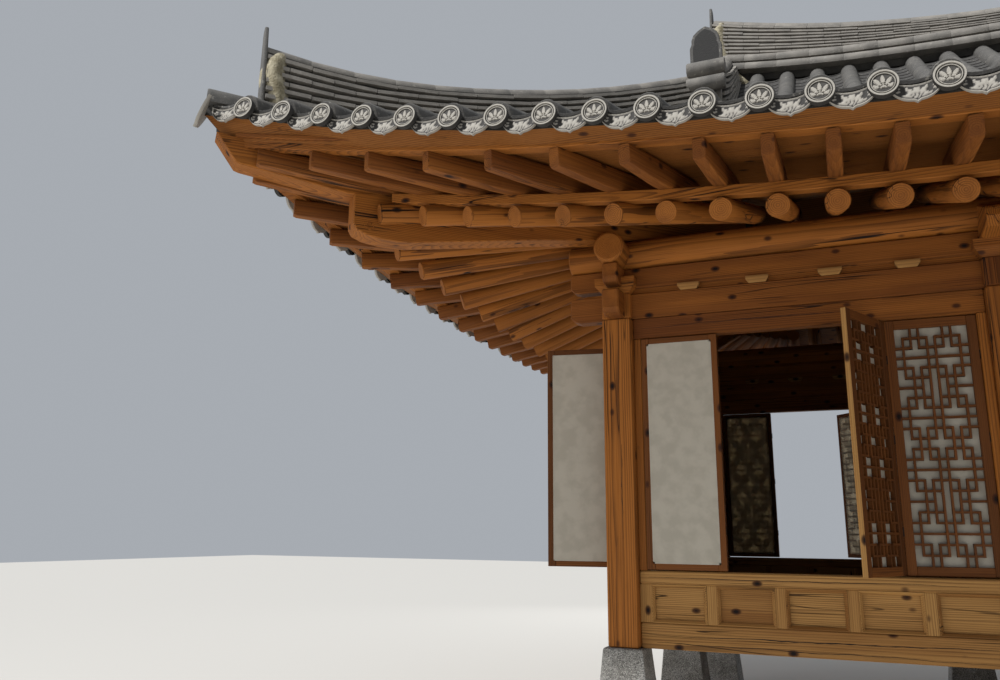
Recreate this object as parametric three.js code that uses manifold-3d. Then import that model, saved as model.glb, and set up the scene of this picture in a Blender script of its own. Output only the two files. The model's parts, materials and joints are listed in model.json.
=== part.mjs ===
// A hanok house: a raised timber pavilion of three bays by two on granite plinths, with folding lattice
// windows all round and a curved, tiled hip-and-gable roof. Millimetres, +Z up, origin on the ground under
// the middle of the house, front towards -Y.
import * as THREE from "three";
import { mergeVertices } from "three/addons/utils/BufferGeometryUtils.js";
import Module from "manifold-3d";

const manifold = await Module();
manifold.setup();

// Driving dimensions
const BAY_FRONT = 2420; // post to post along the front
const BAY_SIDE = 2040; // post to post along the sides
const FRONT_BAYS = 3;
const SIDE_BAYS = 2;
const POST = 210; // square post
const SEAT = 0.3; // gap between pieces that rest on each other

const PLINTH_TOP = 265; // width of a plinth's top
const PLINTH_FOOT = 440; // and of its foot
const FLOOR_BEAM_Z = 870; // top of the plinths, underside of posts and bottom beams
const FLOOR_BEAM_TOP = 1034;
const SILL_BOTTOM = 1278;
const SILL_TOP = 1365;
const LINTEL_BOTTOM = 2955;
const HEAD_BEAM_Z = 3105; // head beams that tie the posts
const HEAD_BEAM_TOP = 3287;
const BEARER_BOTTOM = 3330; // long bearer under the purlin
const PURLIN_BOTTOM = 3480;
const PURLIN = 220; // round purlin
const PURLIN_TOP = PURLIN_BOTTOM + PURLIN;
const BEAM_END = 250; // how far beam ends run past the corner posts

const WALL_FACE = 60; // wall set back from the posts' outer faces
const WALL_THICK = 90;
const LEAF_FACE = 85;
const LEAF_THICK = 35;
const STILE = 55;
const PAPER_THICK = 12;

const EAVE_MID = 1750; // tile edge out from the posts' outer faces, at the middle and at the corners
const EAVE_CORNER = 1980;
const HIP_RUN = 2600; // plan length of the hips along either side
const SIDE_ROOF_RUN = 2845; // the side slopes run in under the gables

// Worked out from them
const HALF_X = (BAY_FRONT * FRONT_BAYS) / 2;
const HALF_Y = (BAY_SIDE * SIDE_BAYS) / 2;
const FACE_X = HALF_X + POST / 2;
const FACE_Y = HALF_Y + POST / 2;
const ROOF_X = FACE_X + EAVE_CORNER;
const ROOF_Y = FACE_Y + EAVE_CORNER;

const FINISHES = {
  granite: { color: 0xa29f98, roughness: 0.9, metalness: 0 },
  pine: { color: 0x9a5a22, roughness: 0.6, metalness: 0 },
  leaf_pine: { color: 0x7a3e1b, roughness: 0.55, metalness: 0 },
  roof_tile: { color: 0x55565a, roughness: 0.8, metalness: 0 },
};
const asMaterial = ([slot, look]) => [slot, new THREE.MeshStandardMaterial({ name: slot, ...look })];
const materials = Object.fromEntries(Object.entries(FINISHES).map(asMaterial));

// The four sides, each seen from outside with local +X to the right, local -Y outwards and local Y = 0 at the
// posts' outer faces
const SIDES = {
  front: { half: HALF_X, roof: ROOF_X, face: FACE_Y, turn: 0, bays: FRONT_BAYS, bay: BAY_FRONT },
  right: { half: HALF_Y, roof: ROOF_Y, face: FACE_X, turn: Math.PI / 2, bays: SIDE_BAYS, bay: BAY_SIDE },
  back: { half: HALF_X, roof: ROOF_X, face: FACE_Y, turn: Math.PI, bays: FRONT_BAYS, bay: BAY_FRONT },
  left: { half: HALF_Y, roof: ROOF_Y, face: FACE_X, turn: -Math.PI / 2, bays: SIDE_BAYS, bay: BAY_SIDE },
};

// Solids: three.js shapes in, joined and cut shapes out
function solid(geometry) {
  const bare = geometry.clone();
  for (const name of Object.keys(bare.attributes)) if (name !== "position") bare.deleteAttribute(name);
  const merged = mergeVertices(bare, 1e-4);
  const shape = new manifold.Mesh({
    numProp: 3,
    vertProperties: Float32Array.from(merged.attributes.position.array),
    triVerts: Uint32Array.from(merged.index.array),
  });
  return new manifold.Manifold(shape);
}

const join = (solids) => solids.reduce((sum, next) => sum.add(next));

// What is left of a solid once the tools are taken out, without the shavings of the cut
function cut(whole, tools) {
  const left = tools.reduce((rest, tool) => rest.subtract(tool), whole).decompose();
  return left.reduce((largest, piece) => (piece.volume() > largest.volume() ? piece : largest));
}

// The solid's triangles, on a fine grid, without those that the grid closes up
const GRID = 0.02;

function geometryOf(shape) {
  const { vertProperties, triVerts } = shape.getMesh();
  const snapped = Float32Array.from(vertProperties, (value) => Math.round(value / GRID) * GRID);
  const geometry = new THREE.BufferGeometry();
  geometry.setAttribute("position", new THREE.BufferAttribute(snapped, 3));
  geometry.setIndex(new THREE.BufferAttribute(Uint32Array.from(triVerts), 1));
  const merged = mergeVertices(geometry, GRID / 4);
  const index = merged.index.array;
  const kept = [];
  for (let i = 0; i < index.length; i += 3) {
    const [a, b, c] = index.slice(i, i + 3);
    if (a !== b && b !== c && c !== a) kept.push(a, b, c);
  }
  merged.setIndex(kept);
  return merged;
}

const house = new THREE.Group();

function addPiece(name, shape, slot, group = house) {
  const mesh = new THREE.Mesh(geometryOf(shape), materials[slot]);
  mesh.name = name;
  group.add(mesh);
  return mesh;
}

function sideGroup(side) {
  const group = new THREE.Group();
  const { face, turn } = side;
  group.rotation.z = turn;
  group.position.set(Math.sin(turn) * face, -Math.cos(turn) * face, 0);
  house.add(group);
  return group;
}

const groups = Object.fromEntries(Object.entries(SIDES).map(([name, side]) => [name, sideGroup(side)]));

// A side's local solid, moved to where it stands in the house
function inHouse(shape, name) {
  const { face, turn } = SIDES[name];
  const degrees = THREE.MathUtils.radToDeg(turn);
  return shape.rotate([0, 0, degrees]).translate([Math.sin(turn) * face, -Math.cos(turn) * face, 0]);
}

// A box whose corners have exactly the coordinates given, so that flush pieces join cleanly
function box(xRange, yRange, zRange) {
  const geometry = new THREE.BoxGeometry(1, 1, 1);
  const corners = geometry.attributes.position;
  const pick = ([low, high], value) => (value < 0 ? low : high);
  for (let i = 0; i < corners.count; i++) {
    corners.setX(i, pick(xRange, corners.getX(i)));
    corners.setY(i, pick(yRange, corners.getY(i)));
    corners.setZ(i, pick(zRange, corners.getZ(i)));
  }
  return solid(geometry);
}

// A block that widens or narrows from its foot to its top
function taperedBlock(footWidth, topWidth, z0, z1) {
  const geometry = new THREE.CylinderGeometry(topWidth / Math.SQRT2, footWidth / Math.SQRT2, z1 - z0, 4, 1);
  geometry.rotateX(Math.PI / 2).rotateZ(Math.PI / 4);
  return solid(geometry.translate(0, 0, (z0 + z1) / 2));
}

// A closed skin between two grids of points: upper[i][j] above lower[i][j]
function slab(upper, lower) {
  const rows = upper.length;
  const columns = upper[0].length;
  const points = [...upper.flat(), ...lower.flat()];
  const at = (layer, i, j) => layer * rows * columns + i * columns + j;
  const faces = [];
  const quad = (a, b, c, d) => faces.push(a, b, c, a, c, d);
  for (let i = 0; i < rows - 1; i++) {
    for (let j = 0; j < columns - 1; j++) {
      quad(at(0, i, j), at(0, i, j + 1), at(0, i + 1, j + 1), at(0, i + 1, j));
      quad(at(1, i, j), at(1, i + 1, j), at(1, i + 1, j + 1), at(1, i, j + 1));
    }
  }
  for (let j = 0; j < columns - 1; j++) {
    quad(at(1, 0, j), at(1, 0, j + 1), at(0, 0, j + 1), at(0, 0, j));
    quad(at(0, rows - 1, j), at(0, rows - 1, j + 1), at(1, rows - 1, j + 1), at(1, rows - 1, j));
  }
  for (let i = 0; i < rows - 1; i++) {
    quad(at(0, i, 0), at(0, i + 1, 0), at(1, i + 1, 0), at(1, i, 0));
    quad(at(1, i, columns - 1), at(1, i + 1, columns - 1), at(0, i + 1, columns - 1), at(0, i, columns - 1));
  }
  const geometry = new THREE.BufferGeometry();
  geometry.setAttribute("position", new THREE.Float32BufferAttribute(points.flat(), 3));
  geometry.setIndex(faces);
  return solid(geometry);
}

// A flat outline in (run, height), extruded sideways about its own plane. The run turns to `heading` degrees.
function profile(outline, width, heading = 0) {
  const shape = new THREE.Shape(outline.map(([run, height]) => new THREE.Vector2(run, height)));
  const geometry = new THREE.ExtrudeGeometry(shape, { depth: width, bevelEnabled: false });
  geometry.translate(0, 0, -width / 2).rotateX(Math.PI / 2);
  return solid(geometry).rotate([0, 0, heading]);
}

// A round or flat-sided bar between two points
function bar(from, to, radius, sides, spin = 0, fromRadius = radius) {
  const start = new THREE.Vector3(...from);
  const end = new THREE.Vector3(...to);
  const along = end.clone().sub(start);
  const corner = 1 / Math.cos(Math.PI / sides);
  const ends = [radius * corner, fromRadius * corner];
  const geometry = new THREE.CylinderGeometry(...ends, along.length(), sides, 1).rotateY(spin);
  const sideways = new THREE.Vector3(along.y, -along.x, 0).normalize();
  const forward = along.normalize();
  const basis = new THREE.Matrix4().makeBasis(sideways, forward, sideways.clone().cross(forward));
  basis.setPosition(start.add(end).multiplyScalar(0.5));
  return solid(geometry.applyMatrix4(basis));
}

// Post centres along one side, from its left end
const lineAt = (half, bay, index) => -half + bay * index;

// Plinths and posts
function postPlaces() {
  const places = [];
  for (let i = 0; i <= FRONT_BAYS; i++) {
    places.push([`front_${i + 1}`, lineAt(HALF_X, BAY_FRONT, i), -HALF_Y]);
    places.push([`back_${i + 1}`, lineAt(HALF_X, BAY_FRONT, i), HALF_Y]);
  }
  for (let j = 1; j < SIDE_BAYS; j++) {
    places.push([`left_${j}`, -HALF_X, lineAt(HALF_Y, BAY_SIDE, j)]);
    places.push([`right_${j}`, HALF_X, lineAt(HALF_Y, BAY_SIDE, j)]);
  }
  return places;
}

function addPlinthsAndPosts() {
  const reach = POST / 2;
  for (const [place, x, y] of postPlaces()) {
    const plinth = taperedBlock(PLINTH_FOOT, PLINTH_TOP, 0, FLOOR_BEAM_Z);
    addPiece(`plinth_${place}`, plinth, "granite").position.set(x, y, 0);
    const post = box([-reach, reach], [-reach, reach], [FLOOR_BEAM_Z + SEAT, HEAD_BEAM_Z - SEAT]);
    addPiece(`post_${place}`, post, "pine").position.set(x, y, 0);
  }
}

// Window leaves. A leaf runs from x = 0 to its width, with its outer face at y = 0.
const LEAF_BOTTOM = SILL_TOP + 7;
const LEAF_TOP = LINTEL_BOTTOM - 7;

const PAPER_FACE = (LEAF_THICK - PAPER_THICK) / 2;

function leaf(width) {
  const inside = [STILE, width - STILE];
  const height = [LEAF_BOTTOM + STILE, LEAF_TOP - STILE];
  const board = box([0, width], [0, LEAF_THICK], [LEAF_BOTTOM, LEAF_TOP]);
  return cut(board, [
    box(inside, [-1, PAPER_FACE], height),
    box(inside, [LEAF_THICK - PAPER_FACE, LEAF_THICK + 1], height),
  ]);
}

const JAMB = 55;
const frontLeaf = (BAY_FRONT - POST - 2 * JAMB) / 4;
const sideLeaf = (BAY_SIDE - POST - 2 * JAMB) / 3;

// Bay walls: bottom beam, panelled dado, sill, jambs, lintel and the closed leaves, seen from outside with
// x = 0 at the left post's centre and y = 0 at the posts' outer faces
const MUNTIN = 65; // short uprights of the dado
const END_MUNTIN = 0.7; // share of an end upright that shows beside the post, to its middle line
const PANEL_SETBACK = 30;
const PANEL_WIDTH = 484;
const LEAF_GAP = 1; // each shut leaf stands this far back from the middle of its joint

function bayWall(span, leafCount, closed) {
  const x0 = POST / 2 + SEAT;
  const x1 = span - POST / 2 - SEAT;
  const back = WALL_FACE + WALL_THICK;
  const depth = [WALL_FACE, back];
  const overlap = 4;
  const base = box([x0, x1], depth, [FLOOR_BEAM_Z + SEAT, SILL_TOP]);
  const lintel = box([x0, x1], depth, [LINTEL_BOTTOM, HEAD_BEAM_Z - SEAT]);
  const opening = [SILL_TOP - overlap, LINTEL_BOTTOM + overlap];
  const jambs = [x0, x1 - JAMB].map((x) => box([x, x + JAMB], depth, opening));
  const panels = Math.round(span / PANEL_WIDTH);
  const first = POST / 2 + MUNTIN * END_MUNTIN;
  const pitch = (span - 2 * first) / panels;
  const sunk = [WALL_FACE - 1, WALL_FACE + PANEL_SETBACK];
  const recesses = Array.from({ length: panels }, (_, i) => {
    const middle = first + pitch * (i + 0.5);
    const half = (pitch - MUNTIN) / 2;
    return box([middle - half, middle + half], sunk, [FLOOR_BEAM_TOP, SILL_BOTTOM]);
  });
  const leafWidth = (span - POST - 2 * JAMB) / leafCount;
  const groupsOfLeaves = closed.map((index) => {
    const left = POST / 2 + JAMB + leafWidth * index;
    const lap = [index === 0 ? overlap : -LEAF_GAP, index === leafCount - 1 ? overlap : -LEAF_GAP];
    const face = [LEAF_FACE, LEAF_FACE + LEAF_THICK];
    const board = box([left - lap[0], left + leafWidth + lap[1]], face, opening);
    const inside = [left + STILE, left + leafWidth - STILE];
    const height = [LEAF_BOTTOM + STILE, LEAF_TOP - STILE];
    return cut(board, [box(inside, [LEAF_FACE - 1, LEAF_FACE + PAPER_FACE], height)]);
  });
  return join([cut(base, recesses), lintel, ...jambs, ...groupsOfLeaves]);
}

// Which leaves stand shut in each bay, counted from the left as seen from outside. The others are open.
const FRONT_LEFT_BAY = [0, 3];
const BACK_LEFT_BAY = [0, 3];
const LEFT_FRONT_BAY = [0, 1];

function addBayWalls() {
  for (const [name, side] of Object.entries(SIDES)) {
    for (let i = 0; i < side.bays; i++) {
      const count = side.bay === BAY_FRONT ? 4 : 3;
      let closed = [...Array(count).keys()];
      if (name === "front" && i === 0) closed = FRONT_LEFT_BAY;
      if (name === "back" && i === side.bays - 1) closed = BACK_LEFT_BAY;
      if (name === "left" && i === side.bays - 1) closed = LEFT_FRONT_BAY;
      const wall = addPiece(`wall_${name}_${i + 1}`, bayWall(side.bay, count, closed), "pine", groups[name]);
      wall.position.x = lineAt(side.half, side.bay, i);
    }
  }
}

// Open leaves. Each hangs by its edge at (x, y) of its side and is turned about it, seen from above.
function addOpenLeaf(name, side, width, hinge, degrees, inner = 0) {
  const swung = new THREE.Group();
  swung.position.set(hinge[0], hinge[1], 0);
  swung.rotation.z = THREE.MathUtils.degToRad(degrees);
  groups[side].add(swung);
  addPiece(name, leaf(width).translate([0, -inner, 0]), "leaf_pine", swung);
}

const KNUCKLE = 1.5;
const OPEN_FRONT = 65; // degrees
const OPEN_LEFT = 99;
const OPEN_BACK = 50;

function addOpenLeaves() {
  const wide = frontLeaf - 2 * KNUCKLE;
  const narrow = sideLeaf - 2 * KNUCKLE;
  const edge = (bayLeft, index, leafWidth) => bayLeft + POST / 2 + JAMB + leafWidth * index;
  const folded = LEAF_FACE - SEAT;
  const frontBay = -HALF_X;
  const backBay = HALF_X - BAY_FRONT;
  const sideBay = HALF_Y - BAY_SIDE;
  // Folded back flat on the shut leaf beside it, inner side out
  addOpenLeaf("window_leaf_front_folded", "front", wide, [edge(frontBay, 1, frontLeaf), folded], 180);
  addOpenLeaf("window_leaf_back_folded", "back", wide, [edge(backBay, 4, frontLeaf) - KNUCKLE, folded], 180);
  // Standing open, hung on the shut leaf or the jamb beside it
  const seated = LEAF_GAP - SEAT;
  const onFourth = [edge(frontBay, 3, frontLeaf) + seated, LEAF_FACE];
  addOpenLeaf("window_leaf_front_open", "front", wide, onFourth, 180 + OPEN_FRONT, LEAF_THICK);
  const pastJamb = (LEAF_FACE - WALL_FACE) * Math.tan(THREE.MathUtils.degToRad(OPEN_LEFT - 90));
  const atJamb = [edge(sideBay, 3, sideLeaf) - 2.2 * SEAT - pastJamb, LEAF_FACE];
  addOpenLeaf("window_leaf_left_open", "left", narrow, atJamb, 180 + OPEN_LEFT, LEAF_THICK);
  const onFirst = [edge(backBay, 1, frontLeaf) - seated, LEAF_FACE];
  addOpenLeaf("window_leaf_back_open", "back", wide, onFirst, -OPEN_BACK);
}

// Floor of boards on joists, let in round the posts
const FLOOR_THICK = 100;

function addFloor() {
  const inset = WALL_FACE + WALL_THICK + SEAT;
  const x = FACE_X - inset;
  const y = FACE_Y - inset;
  const reach = POST / 2 + SEAT;
  const notches = postPlaces().map(([, px, py]) =>
    box([px - reach, px + reach], [py - reach, py + reach], [FLOOR_BEAM_Z - 1, FLOOR_BEAM_TOP + 1]),
  );
  const boards = box([-x, x], [-y, y], [FLOOR_BEAM_TOP - FLOOR_THICK, FLOOR_BEAM_TOP]);
  addPiece("floor", cut(boards, notches), "pine");
}

// Head frame: head beams, post heads, capital blocks, small bearing blocks, the long bearer and cross beams
const HEAD_BEAM = 120;
const BEARER = 110;
const CAPITAL_TOP = 3400;
const BLOCKS_PER_BAY = 4;
const CROSS_BEAM = 190;
const PURLIN_SIDES = 12;

// A level beam along one side's post line, with shaped ends that run past the corner posts
function endedBeam(half, width, z0, z1) {
  const tip = half + POST / 2 + BEAM_END;
  const nose = (z1 - z0) * 0.45;
  const outline = [
    [-tip, z1],
    [-tip, z0 + nose],
    [-tip + 60, z0 + nose * 0.35],
    [-tip + 150, z0],
    [tip - 150, z0],
    [tip - 60, z0 + nose * 0.35],
    [tip, z0 + nose],
    [tip, z1],
  ];
  return profile(outline, width);
}

const purlinAt = (half, across, grow = 0) => {
  const tip = half + POST / 2 + BEAM_END;
  const z = PURLIN_BOTTOM + SEAT + PURLIN / 2;
  return bar([-tip, across, z], [tip, across, z], PURLIN / 2 + grow, PURLIN_SIDES, Math.PI / PURLIN_SIDES);
};

const turned = (shape) => shape.rotate([0, 0, 90]);

function purlinRing(grow = 0) {
  return join([
    purlinAt(HALF_X, -HALF_Y, grow),
    purlinAt(HALF_X, HALF_Y, grow),
    turned(purlinAt(HALF_Y, -HALF_X, grow)),
    turned(purlinAt(HALF_Y, HALF_X, grow)),
  ]);
}

// A beam from front to back over the capitals, with shaped noses outside
function crossBeam(x) {
  const tip = FACE_Y + 300;
  const under = CAPITAL_TOP - 5;
  const nose = [
    [FACE_Y, under],
    [tip - 70, under + 10],
    [tip, under + 45],
    [tip - 15, under + 120],
    [FACE_Y, under + 235],
  ];
  const outline = [...nose.map(([run, z]) => [-run, z]).reverse(), ...nose];
  return turned(profile(outline, CROSS_BEAM)).translate([x, 0, 0]);
}

function addHeadFrame() {
  const pieces = [];
  const beams = (width, z0, z1) => {
    pieces.push(endedBeam(HALF_X, width, z0, z1).translate([0, -HALF_Y, 0]));
    pieces.push(endedBeam(HALF_X, width, z0, z1).translate([0, HALF_Y, 0]));
    pieces.push(turned(endedBeam(HALF_Y, width, z0, z1)).translate([-HALF_X, 0, 0]));
    pieces.push(turned(endedBeam(HALF_Y, width, z0, z1)).translate([HALF_X, 0, 0]));
  };
  beams(HEAD_BEAM, HEAD_BEAM_Z, HEAD_BEAM_TOP);
  beams(BEARER, BEARER_BOTTOM, PURLIN_BOTTOM);
  const reach = POST / 2;
  for (const [, x, y] of postPlaces()) {
    pieces.push(box([x - reach, x + reach], [y - reach, y + reach], [HEAD_BEAM_Z, HEAD_BEAM_TOP + 2]));
    pieces.push(taperedBlock(190, 290, HEAD_BEAM_TOP, CAPITAL_TOP).translate([x, y, 0]));
  }
  const block = taperedBlock(76, 104, HEAD_BEAM_TOP - 2, BEARER_BOTTOM + 2);
  for (const side of [SIDES.front, SIDES.left]) {
    for (let i = 0; i < side.bays; i++) {
      for (let k = 1; k <= BLOCKS_PER_BAY; k++) {
        const along = lineAt(side.half, side.bay, i) + (side.bay * (k + 0.1)) / (BLOCKS_PER_BAY + 1.2);
        const across = side.face - POST / 2;
        const row = [block.translate([along, -across, 0]), block.translate([along, across, 0])];
        pieces.push(...(side === SIDES.front ? row : row.map(turned)));
      }
    }
  }
  const beamLines = Array.from({ length: FRONT_BAYS - 1 }, (_, i) => lineAt(HALF_X, BAY_FRONT, i + 1));
  pieces.push(...beamLines.map(crossBeam));
  addPiece("head_frame", cut(join(pieces), [purlinRing(SEAT)]), "pine");
  addPiece("purlins", purlinRing(), "pine");
}

// Roof form. `inset` is the plan distance in from the outermost tile line, and `x` the place along the eave.
const EAVE_Z = 3570; // tile bed at the middle of the eave
const BED_SLOPE = 0.364;
const BED_SAG = 0.053e-3;
const MID_INSET = EAVE_CORNER - EAVE_MID;
const CORNER_LIFT = 520; // how much higher the eave's corner is than the hips' upper ends lie over the middle
const HIP_TOP_RISE = 80;
const VERGE_SAG = 0.0628e-3;
const sweep = (u) => 0.7 * u * u + 0.3 * u ** 4; // how an eave rises from its middle to a corner

function bedAtMiddle(inset) {
  const run = inset - MID_INSET;
  return EAVE_Z + BED_SLOPE * run + BED_SAG * run * run;
}

function cornerRise(inset) {
  const run = inset - MID_INSET;
  const hipRun = HIP_RUN - MID_INSET;
  const onHip = HIP_TOP_RISE + CORNER_LIFT * (1 - Math.min(run, hipRun) / HIP_RUN) ** 2;
  return onHip + VERGE_SAG * Math.max(0, run - hipRun) ** 2;
}

const halfLength = (roof, inset) => roof - Math.min(inset, HIP_RUN);

function bedZ(roof, x, inset) {
  return bedAtMiddle(inset) + cornerRise(inset) * sweep(x / halfLength(roof, inset));
}

// Eave timbers, in a side's local frame: `out` is the distance out from the posts' outer faces. Rafters run
// parallel in the middle and fan out towards the corners.
const RAFTER = 135;
const RAFTER_PITCH = 303;
const RAFTER_SIDES = 6;
const RAFTER_INSIDE = 640; // inner ends, inside the purlin line
const FLYING_WIDTH = 80;
const FLYING_HEIGHT = 125;
const BATTEN_LOW = 65;
const FAN_FROM = 1030; // the fan starts this far inside the corner post line
const FAN_REACH = 1205; // last rafter end, outside that line
const FAN_INNER = -250; // last rafter over the purlin
const FAN_TAPER = 42; // radius of the fanned rafters' inner ends
const FAN_LIFT = 140; // the last rafter lies this much higher over the purlin
const HIP_REACH = 1405;

const purlinOut = -POST / 2;

// One rafter line, named by where its outer end lies along the eave
function rafterLine(half, end) {
  const size = Math.abs(end);
  const start = half - FAN_FROM;
  const fan = Math.max(0, size - start) / (FAN_FROM + FAN_REACH);
  const u = size / (half + HIP_REACH);
  const inner = size - Math.max(0, size - start) + fan * (FAN_FROM + FAN_INNER);
  const out = 1100 + 200 * u * u;
  const flyOut = 1600 + 250 * u * u;
  const seat = PURLIN_TOP + SEAT * 2 + RAFTER * 0.537 + 12;
  return {
    inner: Math.sign(end) * inner,
    end,
    out,
    flyOut,
    innerZ: seat + FAN_LIFT * fan,
    endZ: 3300 + 330 * sweep(u),
    flyZ: 3390 + 500 * sweep(u),
  };
}

const share = (line, out) => (out - purlinOut) / (line.out - purlinOut);
const alongAt = (line, out) => line.inner + (line.end - line.inner) * share(line, out);
const rafterZ = (line, out) => line.innerZ + (line.endZ - line.innerZ) * share(line, out);
const rafterTopZ = (line, out) => rafterZ(line, out) + RAFTER * 0.535;

// Flying rafters lie on the lower batten and on the rafters' backs
function flyingTopZ(line, out) {
  const rest = line.out - 50;
  const restZ = rafterTopZ(line, rest) + BATTEN_LOW - 6 + FLYING_HEIGHT;
  const tipZ = line.flyZ + FLYING_HEIGHT / 2;
  return tipZ + ((restZ - tipZ) * (line.flyOut - out)) / (line.flyOut - rest);
}

// The rafter line that passes through a point of the eave
function lineThrough(half, x, out) {
  let end = x;
  for (let i = 0; i < 12; i++) {
    const line = rafterLine(half, end || 1e-6);
    end += x - alongAt(line, Math.max(out, purlinOut));
  }
  const limit = half + FAN_REACH + 200;
  return rafterLine(half, THREE.MathUtils.clamp(end, -limit, limit) || 1e-6);
}

function rafterEnds(half) {
  const last = half + FAN_REACH;
  const count = Math.round((2 * last) / RAFTER_PITCH);
  return Array.from({ length: count + 1 }, (_, i) => -last + (2 * last * i) / count);
}

function rafter(line) {
  const fan = Math.abs(line.end - line.inner) > 1;
  const inside = fan ? -POST / 2 - 60 : purlinOut - RAFTER_INSIDE;
  const from = [alongAt(line, inside), -inside, rafterZ(line, inside)];
  const to = [line.end, -line.out, line.endZ];
  return bar(from, to, RAFTER / 2, RAFTER_SIDES, Math.PI / RAFTER_SIDES, fan ? FAN_TAPER : RAFTER / 2);
}

function flyingRafter(line) {
  const gap = 2;
  const low = (out) => flyingTopZ(line, out) - FLYING_HEIGHT;
  const back = (out) => rafterTopZ(line, out) + gap;
  let kink = line.out;
  while (low(kink) > back(kink)) kink -= 5;
  let tail = kink;
  while (flyingTopZ(line, tail) > back(tail) + 8 && tail > purlinOut - 100) tail -= 5;
  const scale = Math.hypot(1, (line.end - line.inner) / (line.out - purlinOut));
  const outline = [
    [tail, back(tail)],
    [kink, back(kink)],
    [line.flyOut, low(line.flyOut)],
    [line.flyOut, flyingTopZ(line, line.flyOut)],
    [tail, flyingTopZ(line, tail)],
  ].map(([out, z]) => [(out - purlinOut) * scale, z]);
  const heading = THREE.MathUtils.radToDeg(Math.atan2(-(line.out - purlinOut), line.end - line.inner));
  return profile(outline, FLYING_WIDTH, heading).translate([line.inner, -purlinOut, 0]);
}

// Rows and columns of the roof's grid, shared by the slopes and the battens under them
const columnsOf = (half) => (half === HALF_X ? 12 : 8);
const columnShares = (half) => {
  const columns = columnsOf(half);
  return Array.from({ length: columns + 1 }, (_, j) => (2 * j) / columns - 1);
};
const tileOut = (u) => EAVE_MID + (EAVE_CORNER - EAVE_MID) * u * u;
const eaveBoardOut = (u) => 1600 + 250 * u * u;

function batten(side, outAt, depth, bottomAt, height) {
  const rows = [0, depth].map((inwards) =>
    columnShares(side.half).map((u) => {
      const reach = 0.975;
      const out = outAt(u) - inwards;
      const x = u * reach * halfLength(side.roof, EAVE_CORNER - out);
      return [x, -out, bottomAt(x, out)];
    }),
  );
  return slab(
    rows.map((row) => row.map(([x, y, z]) => [x, y, z + height])),
    rows,
  );
}

function eaveFrame(side) {
  const lines = rafterEnds(side.half).map((end) => rafterLine(side.half, end));
  const through = (x, out) => lineThrough(side.half, x, out);
  const low = batten(
    side,
    (u) => 1080 + 200 * u * u,
    90,
    (x, out) => rafterTopZ(through(x, out), out) - 8,
    BATTEN_LOW,
  );
  return join([...lines.map(rafter), ...lines.map(flyingRafter), low]);
}

// Hip rafters: the lower one on the purlins' crossing and the upper one on its back. Outlines in plan
// distance out from the corner post's faces.
const HIP_WIDTH = 170;

function hipRafter(grow = 0) {
  const diagonal = (outline) => outline.map(([out, z]) => [(out - purlinOut) * Math.SQRT2, z]);
  const lower = diagonal([
    [-900 - grow, 3905 - grow],
    [-105, PURLIN_TOP + 3 * SEAT - grow],
    [400, 3600 - grow],
    [1040, 3450 - grow],
    [1170, 3448 - grow],
    [1310 + grow, 3495 - grow],
    [1310 + grow, 3735 + grow],
    [-105, 3985 + grow],
    [-900 - grow, 4190 + grow],
  ]);
  const upper = diagonal([
    [200 - grow, 3925 - grow],
    [1310, 3727 - grow],
    [1345, 3727 - grow],
    [1860, 3815 - grow],
    [1900 + grow, 3835 - grow],
    [1900 + grow, 3990 + grow],
    [1500, 3925 + grow],
    [900, 3900 + grow],
    [200 - grow, 3975 + grow],
  ]);
  return join([profile(lower, HIP_WIDTH + 2 * grow), profile(upper, HIP_WIDTH - 10 + 2 * grow)]);
}

const CORNERS = {
  front_left: { x: -1, y: -1, heading: -135 },
  front_right: { x: 1, y: -1, heading: -45 },
  back_right: { x: 1, y: 1, heading: 45 },
  back_left: { x: -1, y: 1, heading: 135 },
};

function atCorner(shape, { x, y, heading }) {
  return shape.rotate([0, 0, heading]).translate([x * HALF_X, y * HALF_Y, 0]);
}

// Roof slopes: the tile bed above, boards over the rafters below
const UPPER_DEPTH = 400; // build-up of the roof above the rafters' inner ends

function slopeRows(side, lastInset) {
  const clear = 18;
  const flat = (out) => () => out;
  const timber = (x, out) => {
    const line = lineThrough(side.half, x, out);
    return Math.max(rafterTopZ(line, out), out > 0 ? flyingTopZ(line, out) : 0) + clear;
  };
  const onTips = (x, out) => flyingTopZ(lineThrough(side.half, x, out), out) + clear / 2;
  const rows = [
    { out: tileOut, low: (x, out) => bedZ(side.roof, x, EAVE_CORNER - out) - 62 },
    { out: eaveBoardOut, low: onTips },
    { out: (u) => eaveBoardOut(u) - 300, low: timber },
    { out: (u) => 1050 + 200 * u * u, low: timber },
    { out: flat(600), low: timber },
    { out: flat(purlinOut), low: timber },
    { out: flat(EAVE_CORNER - HIP_RUN), low: timber },
  ];
  const rest = lastInset - HIP_RUN;
  const steps = rest > 500 ? 3 : 1;
  for (let i = 1; i <= steps; i++) {
    const inset = HIP_RUN + (rest * i) / steps;
    const low = (x) => {
      const edge = timber(x, EAVE_CORNER - HIP_RUN);
      const top = bedZ(side.roof, x, lastInset) - UPPER_DEPTH;
      return rest > 500 ? edge + ((top - edge) * i) / steps : timber(x, EAVE_CORNER - inset);
    };
    rows.push({ out: flat(EAVE_CORNER - inset), low });
  }
  return rows;
}

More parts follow.
